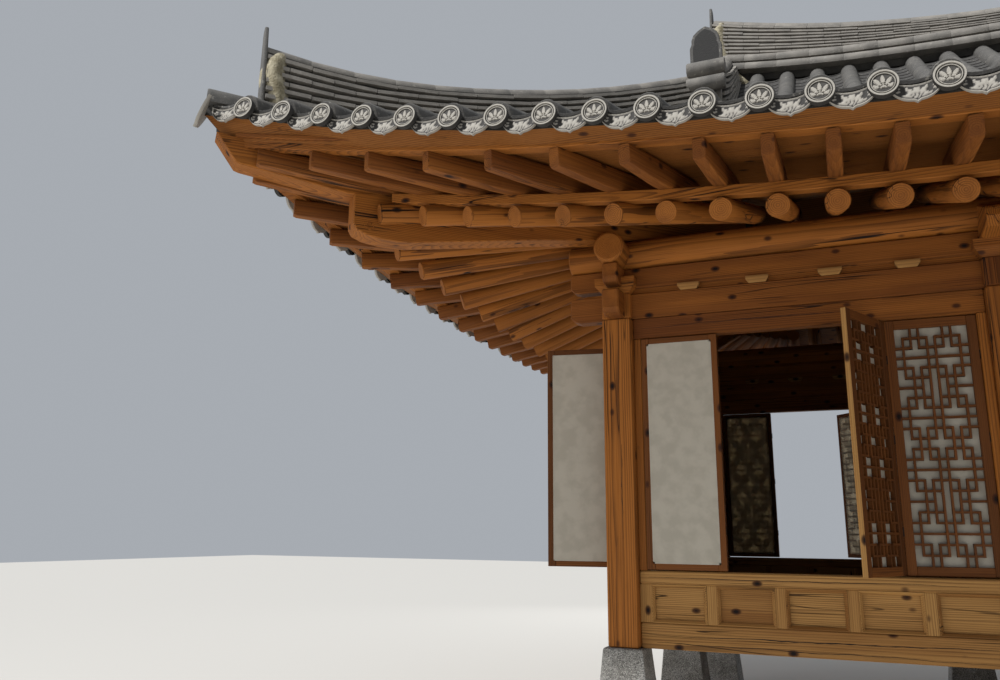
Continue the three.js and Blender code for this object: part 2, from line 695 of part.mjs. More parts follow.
// A slope's solid. A grown one is larger by the seat gap all round, for cutting its neighbours clear of it.
function slope(side, grow = 0) {
  const lastInset = side.half === HALF_X ? ROOF_Y : SIDE_ROOF_RUN;
  const upper = [];
  const lower = [];
  for (const { out, low } of slopeRows(side, lastInset)) {
    const line = columnShares(side.half).map((u) => {
      const away = out(u);
      const width = halfLength(side.roof, EAVE_CORNER - away) - SEAT + 2 * grow;
      const last = away < EAVE_CORNER - lastInset + 1;
      return [u * width, -away - (last ? SEAT - 2 * grow : 0)];
    });
    upper.push(line.map(([x, y]) => [x, y, bedZ(side.roof, x, EAVE_CORNER + y) + grow]));
    lower.push(line.map(([x, y]) => [x, y, low(x, -y) - grow]));
  }
  return slab(upper, lower);
}

const slopeInHouse = (name, grow) => inHouse(slope(SIDES[name], grow), name);

// Cover tiles lie in ribs down the long slopes. Each rib ends short of the ridges.
const TILE_PITCH = 270;
const RIB_HEIGHT = 90;
const RIB_BASE = 150;
const RIB_CROWN = 64;
const RIB_SUNK = 30;
const RIB_SHORTEST = 900;
const RIB_STEP = 2100;
const RIDGE_WIDTH = 260;
const RIDGE_GAP = 18;

function tileRib(side, x) {
  const width = Math.abs(x);
  let u = 0;
  for (let i = 0; i < 8; i++) u = width / (side.roof - MID_INSET * (1 - u * u));
  const start = MID_INSET * (1 - u * u) + 8;
  const pastHip = width + RIB_BASE / 2 > side.roof - HIP_RUN - RIDGE_WIDTH - RIDGE_GAP;
  const hipEnd = side.roof - width - (RIDGE_WIDTH / 2) * Math.SQRT2 - RIB_BASE / 2 - RIDGE_GAP;
  const end = pastHip ? hipEnd : ROOF_Y - RIDGE_WIDTH / 2 - RIDGE_GAP;
  if (end - start < RIB_SHORTEST) return null;
  const steps = Math.ceil((end - start) / RIB_STEP);
  const row = (i, span, lift) => {
    const inset = start + ((end - start) * i) / steps;
    const z = bedZ(side.roof, x, inset) + lift;
    return [-span / 2, span / 2].map((off) => [x + off, inset - EAVE_CORNER, z]);
  };
  const rows = Array.from({ length: steps + 1 }, (_, i) => i);
  return slab(
    rows.map((i) => row(i, RIB_CROWN, RIB_HEIGHT)),
    rows.map((i) => row(i, RIB_BASE, -RIB_SUNK)),
  );
}

function tileRibs(name) {
  const side = SIDES[name];
  const last = Math.floor(side.roof / TILE_PITCH);
  const places = Array.from({ length: 2 * last + 1 }, (_, i) => (i - last) * TILE_PITCH);
  return places.map((x) => tileRib(side, x)).filter(Boolean).map((rib) => inHouse(rib, name));
}

function addRoof() {
  const hipSockets = Object.values(CORNERS).map((corner) => atCorner(hipRafter(SEAT), corner));
  const notch = purlinRing(SEAT);
  for (const [name, corner] of Object.entries(CORNERS)) {
    addPiece(`hip_rafter_${name}`, cut(atCorner(hipRafter(), corner), [notch]), "pine");
  }
  const sideSockets = ["left", "right"].map((name) => slopeInHouse(name, SEAT));
  for (const [name, side] of Object.entries(SIDES)) {
    const long = side.half === HALF_X;
    const bare = cut(slopeInHouse(name), [...hipSockets, ...(long ? sideSockets : [])]);
    addPiece(`roof_${name}`, long ? join([bare, ...tileRibs(name)]) : bare, "roof_tile");
    addPiece(`eave_rafters_${name}`, cut(inHouse(eaveFrame(side), name), hipSockets), "pine");
  }
}

// The tile bed as a cutter for what stands on it
const beds = Object.keys(SIDES).map((name) => slopeInHouse(name, SEAT));

// Ridges: built up in courses, here as one wall with a rounded top, cut to the tile bed under it
function ridge(points, sunk) {
  const half = RIDGE_WIDTH / 2;
  const crown = 60;
  const upper = [];
  const lower = [];
  for (let i = 0; i < points.length; i++) {
    const [x, y, bottom, top] = points[i];
    const [ax, ay] = points[Math.max(0, i - 1)];
    const [bx, by] = points[Math.min(points.length - 1, i + 1)];
    const length = Math.hypot(bx - ax, by - ay);
    const side = [-(by - ay) / length, (bx - ax) / length];
    const place = (off, z) => [x + side[0] * off, y + side[1] * off, z];
    const offs = [half, half / 2, -half / 2, -half];
    upper.push(offs.map((off) => place(off, Math.abs(off) < half ? top : top - crown)));
    lower.push(offs.map((off) => place(off, bottom - sunk)));
  }
  return slab(upper, lower);
}

const GABLE_RIDGE_X = ROOF_X - HIP_RUN - RIDGE_WIDTH / 2;

function mainRidgePoints() {
  const steps = 8;
  const tip = ROOF_X - HIP_RUN - 5;
  return Array.from({ length: steps + 1 }, (_, i) => {
    const x = tip - (2 * tip * i) / steps;
    return [x, 0, bedZ(ROOF_X, x, ROOF_Y), 6200 + 500 * (x / tip) ** 2];
  });
}

function fallingRidgePoints() {
  const steps = 3;
  const top = RIDGE_WIDTH / 2 + SEAT;
  const foot = ROOF_Y - HIP_RUN - 60;
  return Array.from({ length: steps + 1 }, (_, i) => {
    const y = top + ((foot - top) * i) / steps;
    const bed = bedZ(ROOF_X, GABLE_RIDGE_X, ROOF_Y - y);
    return [GABLE_RIDGE_X, y, bed, bed + 300 + (230 * i) / steps];
  });
}

function hipRidgePoints() {
  const steps = 6;
  const start = HIP_RUN + 110;
  const first = 240;
  return Array.from({ length: steps + 1 }, (_, i) => {
    const inset = start + ((first - start) * i) / steps;
    const bed = bedAtMiddle(inset) + cornerRise(inset);
    const curl = 70 * Math.max(0, 1 - (inset - first) / 700) ** 2;
    return [ROOF_X - inset, ROOF_Y - inset, bed, bed + 445 + curl];
  });
}

function addRidges() {
  addPiece("main_ridge", cut(ridge(mainRidgePoints(), 140), beds), "roof_tile");
  for (const [name, corner] of Object.entries(CORNERS)) {
    const place = ([x, y, bottom, top]) => [corner.x * x, corner.y * y, bottom, top];
    const facing = corner.x * corner.y;
    const path = (points) => (facing < 0 ? points.map(place).reverse() : points.map(place));
    const pair = [fallingRidgePoints(), hipRidgePoints()].map((points) => ridge(path(points), 75));
    addPiece(`corner_ridge_${name}`, cut(join(pair), beds), "roof_tile");
  }
}

// Gables: boarded wall, the ridge purlin's end and a pair of bargeboards
const GABLE_WALL_X = ROOF_X - SIDE_ROOF_RUN + 20;
const GABLE_WALL = 50;
const BARGE = 40;
const BARGE_HEIGHT = 495; // of a bargeboard, which stands 25 over the tile bed
const BARGE_OVER = 25;
const GABLE_HALF = 640; // half the boarded wall's width
const GABLE_FOOT = 4600;
const GABLE_EDGE = 4880; // top of the boarded wall at its sides
const PURLIN_END = 180; // width and height of the ridge purlin's end
const PURLIN_END_HEIGHT = 210;
const PURLIN_END_DROP = 90; // how far below the boarded wall's top it lies

function addGables() {
  const verge = ROOF_X - HIP_RUN;
  const top = (y) => bedZ(ROOF_X, verge, ROOF_Y - Math.abs(y));
  const foot = ROOF_Y - HIP_RUN - 200;
  const runs = [-foot, -foot * 0.5, 0, foot * 0.5, foot];
  const over = runs.map((y) => [y, top(y) + BARGE_OVER]);
  const barge = [...over, ...over.map(([y, z]) => [y, z - BARGE_HEIGHT]).reverse()];
  const wallTop = bedZ(ROOF_X, verge, ROOF_Y) - UPPER_DEPTH;
  const wall = [
    [-GABLE_HALF, GABLE_FOOT],
    [GABLE_HALF, GABLE_FOOT],
    [GABLE_HALF, GABLE_EDGE],
    [0, wallTop - 10],
    [-GABLE_HALF, GABLE_EDGE],
  ];
  for (const [name, sign] of [["left", -1], ["right", 1]]) {
    const boards = turned(profile(barge, BARGE)).translate([sign * (verge + BARGE / 2 + SEAT), 0, 0]);
    const infill = turned(profile(wall, GABLE_WALL)).translate([sign * GABLE_WALL_X, 0, 0]);
    const ends = [GABLE_WALL_X, verge + BARGE - 5].map((x) => sign * x).sort((a, b) => a - b);
    const purlinTop = wallTop - PURLIN_END_DROP;
    const sides = [-PURLIN_END / 2, PURLIN_END / 2];
    const purlinEnd = box(ends, sides, [purlinTop - PURLIN_END_HEIGHT, purlinTop]);
    addPiece(`gable_${name}`, cut(join([boards, infill, purlinEnd]), beds), "pine");
  }
}

addPlinthsAndPosts();
addBayWalls();
addOpenLeaves();
addFloor();
addHeadFrame();
addRoof();
addRidges();
addGables();

export default house;
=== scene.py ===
"""A hanok house in pine, paper, granite and smoked tile, at real size.

Lengths are in metres with +Z up and +Y to the back. The house stands on the floor at z = 0, its middle at the
origin.
"""

from __future__ import annotations

import json
import logging
from dataclasses import dataclass, field
from enum import Enum
from math import atan2, copysign, cos, hypot, pi, radians, sin, sqrt
from typing import Callable, Iterable, Sequence

import bpy
import numpy as np
from mathutils import Euler, Matrix, Vector

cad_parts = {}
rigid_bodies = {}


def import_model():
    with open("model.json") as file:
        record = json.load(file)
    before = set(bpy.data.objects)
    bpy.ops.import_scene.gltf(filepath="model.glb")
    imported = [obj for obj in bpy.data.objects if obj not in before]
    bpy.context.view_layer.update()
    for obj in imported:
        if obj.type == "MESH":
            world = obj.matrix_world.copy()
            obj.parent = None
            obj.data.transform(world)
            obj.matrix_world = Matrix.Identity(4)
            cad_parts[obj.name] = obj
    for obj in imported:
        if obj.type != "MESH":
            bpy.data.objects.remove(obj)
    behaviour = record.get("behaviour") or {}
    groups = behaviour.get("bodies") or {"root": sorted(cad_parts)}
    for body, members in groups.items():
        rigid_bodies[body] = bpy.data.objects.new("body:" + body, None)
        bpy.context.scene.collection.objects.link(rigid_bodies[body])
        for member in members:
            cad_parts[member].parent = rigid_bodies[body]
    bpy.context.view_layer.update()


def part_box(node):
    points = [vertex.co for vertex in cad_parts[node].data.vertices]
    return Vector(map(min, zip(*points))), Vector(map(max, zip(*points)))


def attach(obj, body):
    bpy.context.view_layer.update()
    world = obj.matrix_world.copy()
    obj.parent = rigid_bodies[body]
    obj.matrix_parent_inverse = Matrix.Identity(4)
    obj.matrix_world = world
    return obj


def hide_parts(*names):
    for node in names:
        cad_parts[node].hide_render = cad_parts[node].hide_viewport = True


LOG = logging.getLogger("hanok")
Point2 = tuple[float, float]
Point3 = tuple[float, float, float]
Thing = bpy.types.Object
Material = bpy.types.Material
Node = bpy.types.Node
Tree = bpy.types.NodeTree
Socket = bpy.types.NodeSocket

# The middles of the corner posts, the posts' outer faces and the roof's outermost edges.
HALF_X, HALF_Y = 3.630, 2.040
FACE_X, FACE_Y = 3.735, 2.145
ROOF_X, ROOF_Y = 5.715, 4.125
BAY_FRONT, BAY_SIDE = 2.420, 2.040
POST = 0.210

# Heights, from the floor beam's underside to the head beam's.
FLOOR_BEAM_Z, FLOOR_TOP = 0.8703, 1.034
SILL_BOTTOM, SILL_TOP = 1.278, 1.365
LEAF_BOTTOM, LEAF_TOP = 1.372, 2.948
LINTEL_BOTTOM, HEAD_BEAM_Z = 2.955, 3.105

# Depths behind the posts' faces: the wall's face and thickness, and the shut leaves' face.
WALL_FACE, WALL_DEPTH = 0.060, 0.090
LEAF_FACE = 0.085


# Colour and node helpers


def srgb(code: str) -> tuple[float, float, float, float]:
    """Turns a #RRGGBB colour into the linear colour that the shaders use.

    Args:
        code: The colour as six hex digits after a hash.

    Returns:
        Linear red, green, blue and an alpha of one.
    """
    parts = [int(code[i : i + 2], 16) / 255 for i in (1, 3, 5)]
    linear = [c / 12.92 if c <= 0.04045 else ((c + 0.055) / 1.055) ** 2.4 for c in parts]
    return (linear[0], linear[1], linear[2], 1.0)


def add_node(tree: Tree, kind: str, links: dict | None = None, **settings) -> Node:
    """Adds one node, sets its options, and fills its inputs.

    Args:
        tree: The tree that gets the node.
        kind: The node's type name.
        links: For each input, by name or number, a socket to link or a value to set.
        settings: The node's own options.

    Returns:
        The node.
    """
    node = tree.nodes.new(kind)
    for key, value in settings.items():
        setattr(node, key, value)
    for key, value in (links or {}).items():
        socket = node.inputs[key]
        if isinstance(value, Socket):
            tree.links.new(value, socket)
        else:
            socket.default_value = value
    return node


def maths(tree: Tree, operation: str, first: Socket | float, second: Socket | float = 0.0) -> Socket:
    """Adds a maths node and returns its result."""
    return add_node(tree, "ShaderNodeMath", {0: first, 1: second}, operation=operation).outputs[0]


def times(tree: Tree, first: Socket | float, second: Socket | float) -> Socket:
    """Multiplies two values and returns the result."""
    return maths(tree, "MULTIPLY", first, second)


def ramp(tree: Tree, value: Socket, low: float, high: float, first: float = 0.0, last: float = 1.0) -> Socket:
    """Maps a value from low..high to first..last with a smooth step and returns the result."""
    inputs = {"Value": value, "From Min": low, "From Max": high, "To Min": first, "To Max": last}
    return add_node(tree, "ShaderNodeMapRange", inputs, interpolation_type="SMOOTHSTEP").outputs[0]


def blend(tree: Tree, share: Socket, first: Socket | Sequence[float], second: Sequence[float]) -> Socket:
    """Mixes two colours and returns the result."""
    return add_node(tree, "ShaderNodeMix", {0: share, 6: first, 7: second}, data_type="RGBA").outputs[2]


def scaled(tree: Tree, vector: Socket, scale: Socket | Sequence[float]) -> Socket:
    """Multiplies a vector by a scale and returns the result."""
    return add_node(tree, "ShaderNodeVectorMath", {0: vector, 1: scale}, operation="MULTIPLY").outputs[0]


def noise(tree: Tree, vector: Socket, scale: float, detail: float = 2.0) -> Socket:
    """Adds a noise texture and returns its value."""
    inputs = {"Vector": vector, "Scale": scale, "Detail": detail}
    return add_node(tree, "ShaderNodeTexNoise", inputs).outputs[0]


def kept(tree: Tree, name: str, output: str = "Fac") -> Socket:
    """Reads what the mesh keeps at each point under a name."""
    return add_node(tree, "ShaderNodeAttribute", attribute_name=name).outputs[output]


def new_material(name: str) -> tuple[Material, Tree, Node]:
    """Makes a material with one principled shader and returns it with its tree and shader."""
    material = bpy.data.materials.new(name)
    material.use_nodes = True
    return material, material.node_tree, material.node_tree.nodes["Principled BSDF"]


def set_surface(
    tree: Tree, shader: Node, colour: Socket, roughness: Socket | float, height: Socket, depth: float
) -> None:
    """Links a colour, a roughness and a bump height to a shader.

    Args:
        tree: The material's tree.
        shader: Its principled shader.
        colour: The base colour's socket.
        roughness: The roughness, a socket or a number.
        height: The bump's height from 0 to 1.
        depth: What a height of 1 measures, in metres.
    """
    bump = add_node(tree, "ShaderNodeBump", {"Height": height, "Distance": depth, "Strength": 1.0})
    tree.links.new(colour, shader.inputs["Base Color"])
    tree.links.new(bump.outputs[0], shader.inputs["Normal"])
    if isinstance(roughness, Socket):
        tree.links.new(roughness, shader.inputs["Roughness"])
    else:
        shader.inputs["Roughness"].default_value = roughness


# Finishes


@dataclass(frozen=True)
class PineFinish:
    """Red pine with growth rings, fibres, knots and drying cracks with painted shade in them, all along each
    timber's own grain.
    """

    name: str
    light: str = "#A06226"
    deep: str = "#693A15"
    late: str = "#42220B"
    ring_spacing: float = 0.011
    crack: float = 1.0
    gloss: float = 0.6
    knot: str = "#341708"
    knot_heart: str = "#150A05"
    crack_inside: str = "#1A0C05"
    bump: float = 0.004

    def make(self) -> Material:
        """Makes the material."""
        material, tree, shader = new_material(self.name)
        grain = kept(tree, "grain", "Vector")
        wander = noise(tree, scaled(tree, grain, (0.9, 5.0, 5.0)), 1.0)
        fibre = noise(tree, scaled(tree, grain, (3.0, 260.0, 260.0)), 1.0, 3.0)
        late = ramp(tree, self._rings(tree, grain), 0.35, 1.0)
        late = times(tree, late, ramp(tree, wander, 0.3, 0.7, 0.25, 0.75))
        colour = blend(tree, late, self._wood(tree, grain), srgb(self.late))
        colour = blend(tree, ramp(tree, fibre, 0.45, 0.75, 0.0, 0.35), colour, srgb(self.late))
        knot, heart = self._knots(tree, grain)
        colour = blend(tree, times(tree, knot, 0.9), colour, srgb(self.knot))
        colour = blend(tree, times(tree, knot, heart), colour, srgb(self.knot_heart))
        crack = self._cracks(tree, grain, wander)
        # The cracks go near black: painted shade inside them.
        colour = blend(tree, crack, colour, srgb(self.crack_inside))
        height = maths(tree, "SUBTRACT", times(tree, fibre, 0.25), crack)
        shader.inputs["Specular IOR Level"].default_value = 0.2
        roughness = ramp(tree, fibre, 0.2, 0.8, self.gloss, self.gloss + 0.2)
        set_surface(tree, shader, colour, roughness, height, self.bump)
        return material

    def _wood(self, tree: Tree, grain: Socket) -> Socket:
        """The wood's broad colour, which drifts along each timber and differs from one to the next."""
        broad = noise(tree, scaled(tree, grain, (0.5, 7.0, 7.0)), 1.0, 3.0)
        warm = maths(tree, "ADD", times(tree, broad, 0.9), times(tree, kept(tree, "tone"), 0.4))
        return blend(tree, ramp(tree, warm, 0.45, 1.05), srgb(self.light), srgb(self.deep))

    def _rings(self, tree: Tree, grain: Socket) -> Socket:
        """The growth rings, as saw teeth round the tree's heart."""
        inputs = {
            "Vector": scaled(tree, grain, (0.06, 1, 1)),
            "Scale": 0.314 / self.ring_spacing,
            "Distortion": 5.0,
            "Detail": 1.5,
            "Detail Scale": 0.6,
        }
        options = {"wave_type": "RINGS", "rings_direction": "X", "wave_profile": "SAW"}
        return add_node(tree, "ShaderNodeTexWave", inputs, **options).outputs["Fac"]

    def _cracks(self, tree: Tree, grain: Socket, wander: Socket) -> Socket:
        """The fine drying cracks, which come and go along the grain."""
        split = noise(tree, scaled(tree, grain, (0.55, 17.0, 17.0)), 1.0, 1.0)
        ridge = maths(tree, "ABSOLUTE", maths(tree, "SUBTRACT", split, 0.5))
        crack = times(tree, ramp(tree, ridge, 0.004, 0.014, 1.0, 0.0), ramp(tree, wander, 0.52, 0.62))
        return times(tree, crack, self.crack)

    def _knots(self, tree: Tree, grain: Socket) -> tuple[Socket, Socket]:
        """The knots and their dark hearts."""
        inputs = {"Vector": scaled(tree, grain, (4.6, 7.5, 7.5)), "Scale": 1.0}
        cells = add_node(tree, "ShaderNodeTexVoronoi", inputs)
        rare = add_node(tree, "ShaderNodeSeparateColor", {0: cells.outputs["Color"]}).outputs[0]
        distance = cells.outputs["Distance"]
        knot = ramp(tree, distance, 0.10, 0.19, 1.0, 0.0)
        knot = times(tree, knot, maths(tree, "GREATER_THAN", rare, 0.15))
        return knot, ramp(tree, distance, 0.05, 0.10, 1.0, 0.0)


@dataclass(frozen=True)
class TileFinish:
    """Fired clay tile, smoked to a dark grey, with weathered patches, pale grit and lichen, a painted
    highlight on what stands proud and painted shade and dirt in the hollows.
    """

    name: str
    dark: str = "#4B4946"
    pale: str = "#979188"
    # proud: the colour of the lichen, and of the painted highlight on raised relief.
    proud: str = "#A29D93"
    # hollow: the near black of the painted shade and dirt in the relief's hollows.
    hollow: str = "#1A1816"
    roughness: float = 0.78
    bump: float = 0.003

    def make(self) -> Material:
        """Makes the material."""
        material, tree, shader = new_material(self.name)
        place = add_node(tree, "ShaderNodeTexCoord").outputs["Object"]
        relief = kept(tree, "relief")
        patch = noise(tree, place, 9.0, 4.0)
        grit = noise(tree, place, 160.0, 3.0)
        share = maths(tree, "ADD", times(tree, kept(tree, "tone"), 0.75), times(tree, patch, 0.6))
        colour = blend(tree, ramp(tree, share, 0.3, 1.15), srgb(self.dark), srgb(self.pale))
        colour = blend(tree, ramp(tree, grit, 0.5, 0.8, 0.0, 0.35), colour, srgb(self.pale))
        lichen = times(tree, ramp(tree, noise(tree, place, 31.0, 3.0), 0.62, 0.7), 0.35)
        colour = blend(tree, lichen, colour, srgb(self.proud))
        # Painted highlight: what stands proud in the relief is lightened.
        colour = blend(tree, ramp(tree, relief, 0.0, 1.0, 0.0, 0.9), colour, srgb(self.proud))
        # Painted shade and dirt: the relief's hollows go near black.
        colour = blend(tree, ramp(tree, relief, 0.0, -1.0, 0.0, 0.95), colour, srgb(self.hollow))
        set_surface(tree, shader, colour, self.roughness, grit, self.bump)
        return material


@dataclass(frozen=True)
class GraniteFinish:
    """Bush-hammered granite with dark and light grains."""

    name: str
    base: str = "#8B8984"
    cloud: str = "#6F6C66"
    dark_grain: str = "#33312E"
    light_grain: str = "#C9C6BE"
    roughness: float = 0.85
    bump: float = 0.006

    def make(self) -> Material:
        """Makes the material."""
        material, tree, shader = new_material(self.name)
        place = add_node(tree, "ShaderNodeTexCoord").outputs["Object"]
        cells = add_node(tree, "ShaderNodeTexVoronoi", {"Vector": place, "Scale": 210.0})
        shade = add_node(tree, "ShaderNodeSeparateColor", {0: cells.outputs["Color"]}).outputs[0]
        cloud = noise(tree, place, 6.0, 3.0)
        pits = noise(tree, place, 90.0, 4.0)
        colour = blend(tree, ramp(tree, cloud, 0.35, 0.7), srgb(self.base), srgb(self.cloud))
        colour = blend(tree, ramp(tree, shade, 0.78, 0.82, 0.0, 0.75), colour, srgb(self.dark_grain))
        colour = blend(tree, ramp(tree, shade, 0.3, 0.0, 0.0, 0.6), colour, srgb(self.light_grain))
        set_surface(tree, shader, colour, self.roughness, pits, self.bump)
        return material


@dataclass(frozen=True)
class PlainFinish:
    """A plain finish with two close colours in soft clouds, for paper, lime mortar, iron or clay.

    What glows lets that share of the light through.
    """

    name: str
    first: str
    second: str
    cloud_mm: float
    grit_mm: float
    roughness: float
    depth_mm: float
    metal: float = 0.0
    glow: float = 0.0

    def make(self) -> Material:
        """Makes the material."""
        material, tree, shader = new_material(self.name)
        place = add_node(tree, "ShaderNodeTexCoord").outputs["Object"]
        cloud = noise(tree, place, 1000 / self.cloud_mm, 3.0)
        grit = noise(tree, place, 1000 / self.grit_mm, 3.0)
        colour = blend(tree, ramp(tree, cloud, 0.35, 0.65), srgb(self.first), srgb(self.second))
        colour = blend(tree, ramp(tree, grit, 0.45, 0.75, 0.0, 0.3), colour, srgb(self.second))
        shader.inputs["Metallic"].default_value = self.metal
        set_surface(tree, shader, colour, self.roughness, grit, self.depth_mm / 1000)
        if self.glow > 0:
            through = add_node(tree, "ShaderNodeBsdfTranslucent", {"Color": colour}).outputs[0]
            inputs = {0: self.glow, 1: shader.outputs[0], 2: through}
            mixed = add_node(tree, "ShaderNodeMixShader", inputs).outputs[0]
            tree.links.new(mixed, tree.nodes["Material Output"].inputs["Surface"])
        return material


class Finish(Enum):
    """Every finish of the house, under the real material's name, and with the light or shade painted into
    some of them.
    """

    # Red pine, planed and oiled, for posts, beams, purlins and rafters.
    PINE = PineFinish("red pine")
    # The same pine, lighter and yellower for painted sunlight, for sills, panels and floor beams.
    SILL_PINE = PineFinish("red pine, sill rails and panels", "#AA7F48", "#85592B", "#56361A", 0.012, 0.85)
    # Pine stained darker and redder, with a fine grain, for window frames and lattices.
    LEAF_PINE = PineFinish("red pine, window frames", "#74441C", "#532F12", "#301908", 0.006, 0.0, 0.6)
    # Pine boards over the rafters, darker for soot and painted shade.
    ROOF_BOARD = PineFinish("pine roof boards", "#82501F", "#5A3013", "#45210C", 0.013, 0.4, 0.6)
    TILE = TileFinish("smoked clay tile")
    # The same tile, darker where it lies low between the covers: painted shade.
    LOW_TILE = TileFinish("smoked clay tile, sheltered", "#33312F", "#5E5B56")
    BEDDING = PlainFinish("clay bedding", "#3E3B36", "#2A2825", 160.0, 9.0, 0.95, 4.0)
    MORTAR = PlainFinish("lime mortar", "#ADA48C", "#7F765E", 55.0, 12.0, 0.95, 12.0)
    # Mulberry paper pasted on the lattice, which lets some light through.
    PAPER = PlainFinish("mulberry paper", "#C0B9AA", "#B4AD9E", 90.0, 2.0, 0.85, 0.2, glow=0.2)
    # The same paper, newer and thinner, which shows its lattice against the light.
    THIN_PAPER = PlainFinish("mulberry paper, thin", "#F0E8D6", "#E7DFCD", 90.0, 2.0, 0.85, 0.2, glow=0.75)
    GRANITE = GraniteFinish("hewn granite")
    # Near black for the crack ribbons: painted shade inside the drying cracks.
    CRACK = PlainFinish("inside of a drying crack", "#1E1109", "#140B06", 30.0, 3.0, 0.95, 0.4)
    IRON = PlainFinish("forged iron", "#2A2826", "#1C1A19", 20.0, 3.0, 0.55, 0.4, 0.8)

    @property
    def material(self) -> Material:
        """The finish's material, made at its first use."""
        return bpy.data.materials.get(self.value.name) or self.value.make()


# Shapes


def rectangle(width: float, height: float) -> list[Point2]:
    """The four corners of a rectangle about its middle, anticlockwise."""
    x, y = width / 2, height / 2
    return [(-x, -y), (x, -y), (x, y), (-x, y)]


def ring(radius: float, sides: int) -> list[Point2]:
    """Points round a circle, anticlockwise."""
    turns = [2 * pi * i / sides for i in range(sides)]
    return [(radius * cos(a), radius * sin(a)) for a in turns]


def offset(outline: Sequence[Point2], inward: float) -> list[Point2]:
    """Moves every edge of an anticlockwise outline inward.

    Args:
        outline: The corners.
        inward: How far each edge moves.

    Returns:
        As many corners as were given.
    """
    count = len(outline)
    moved = []
    for i in range(count):
        before, here, after = (Vector(outline[(i + k) % count]) for k in (-1, 0, 1))
        first, second = (here - before).normalized(), (after - here).normalized()
        normal = Vector((-first.y, first.x)) + Vector((-second.y, second.x))
        moved.append(tuple(here + normal * (inward * 2 / max(normal.length_squared, 0.5))))
    return moved


def cut_corners(outline: Sequence[Point2], size: float) -> list[Point2]:
    """Replaces each sharp corner of an outline with a short flat.

    Args:
        outline: The corners.
        size: How far from the corner each flat starts.

    Returns:
        The outline with two points for each sharp corner.
    """
    count = len(outline)
    points: list[Point2] = []
    for i in range(count):
        before, here, after = (Vector(outline[(i + k) % count]) for k in (-1, 0, 1))
        first, second = before - here, after - here
        bend = abs(first.angle_signed(second, 0.0))
        if bend > radians(140):
            points.append(tuple(here))
            continue
        reach = min(size, first.length * 0.3, second.length * 0.3)
        points += [tuple(here + first.normalized() * reach), tuple(here + second.normalized() * reach)]
    return points


def in_scene(name: str, data: bpy.types.ID) -> Thing:
    """Makes an object of some data at the origin, links it to the scene and returns it."""
    thing = bpy.data.objects.new(name, data)
    bpy.context.scene.collection.objects.link(thing)
    return thing


def keep_at_points(mesh: bpy.types.Mesh, name: str, values: np.ndarray) -> None:
    """Keeps a number or a vector at each of a mesh's points, under a name."""
    kind, key = ("FLOAT_VECTOR", "vector") if values.ndim == 2 else ("FLOAT", "value")
    attribute = mesh.attributes.new(name, kind, "POINT")
    attribute.data.foreach_set(key, values.astype(np.float32).ravel())


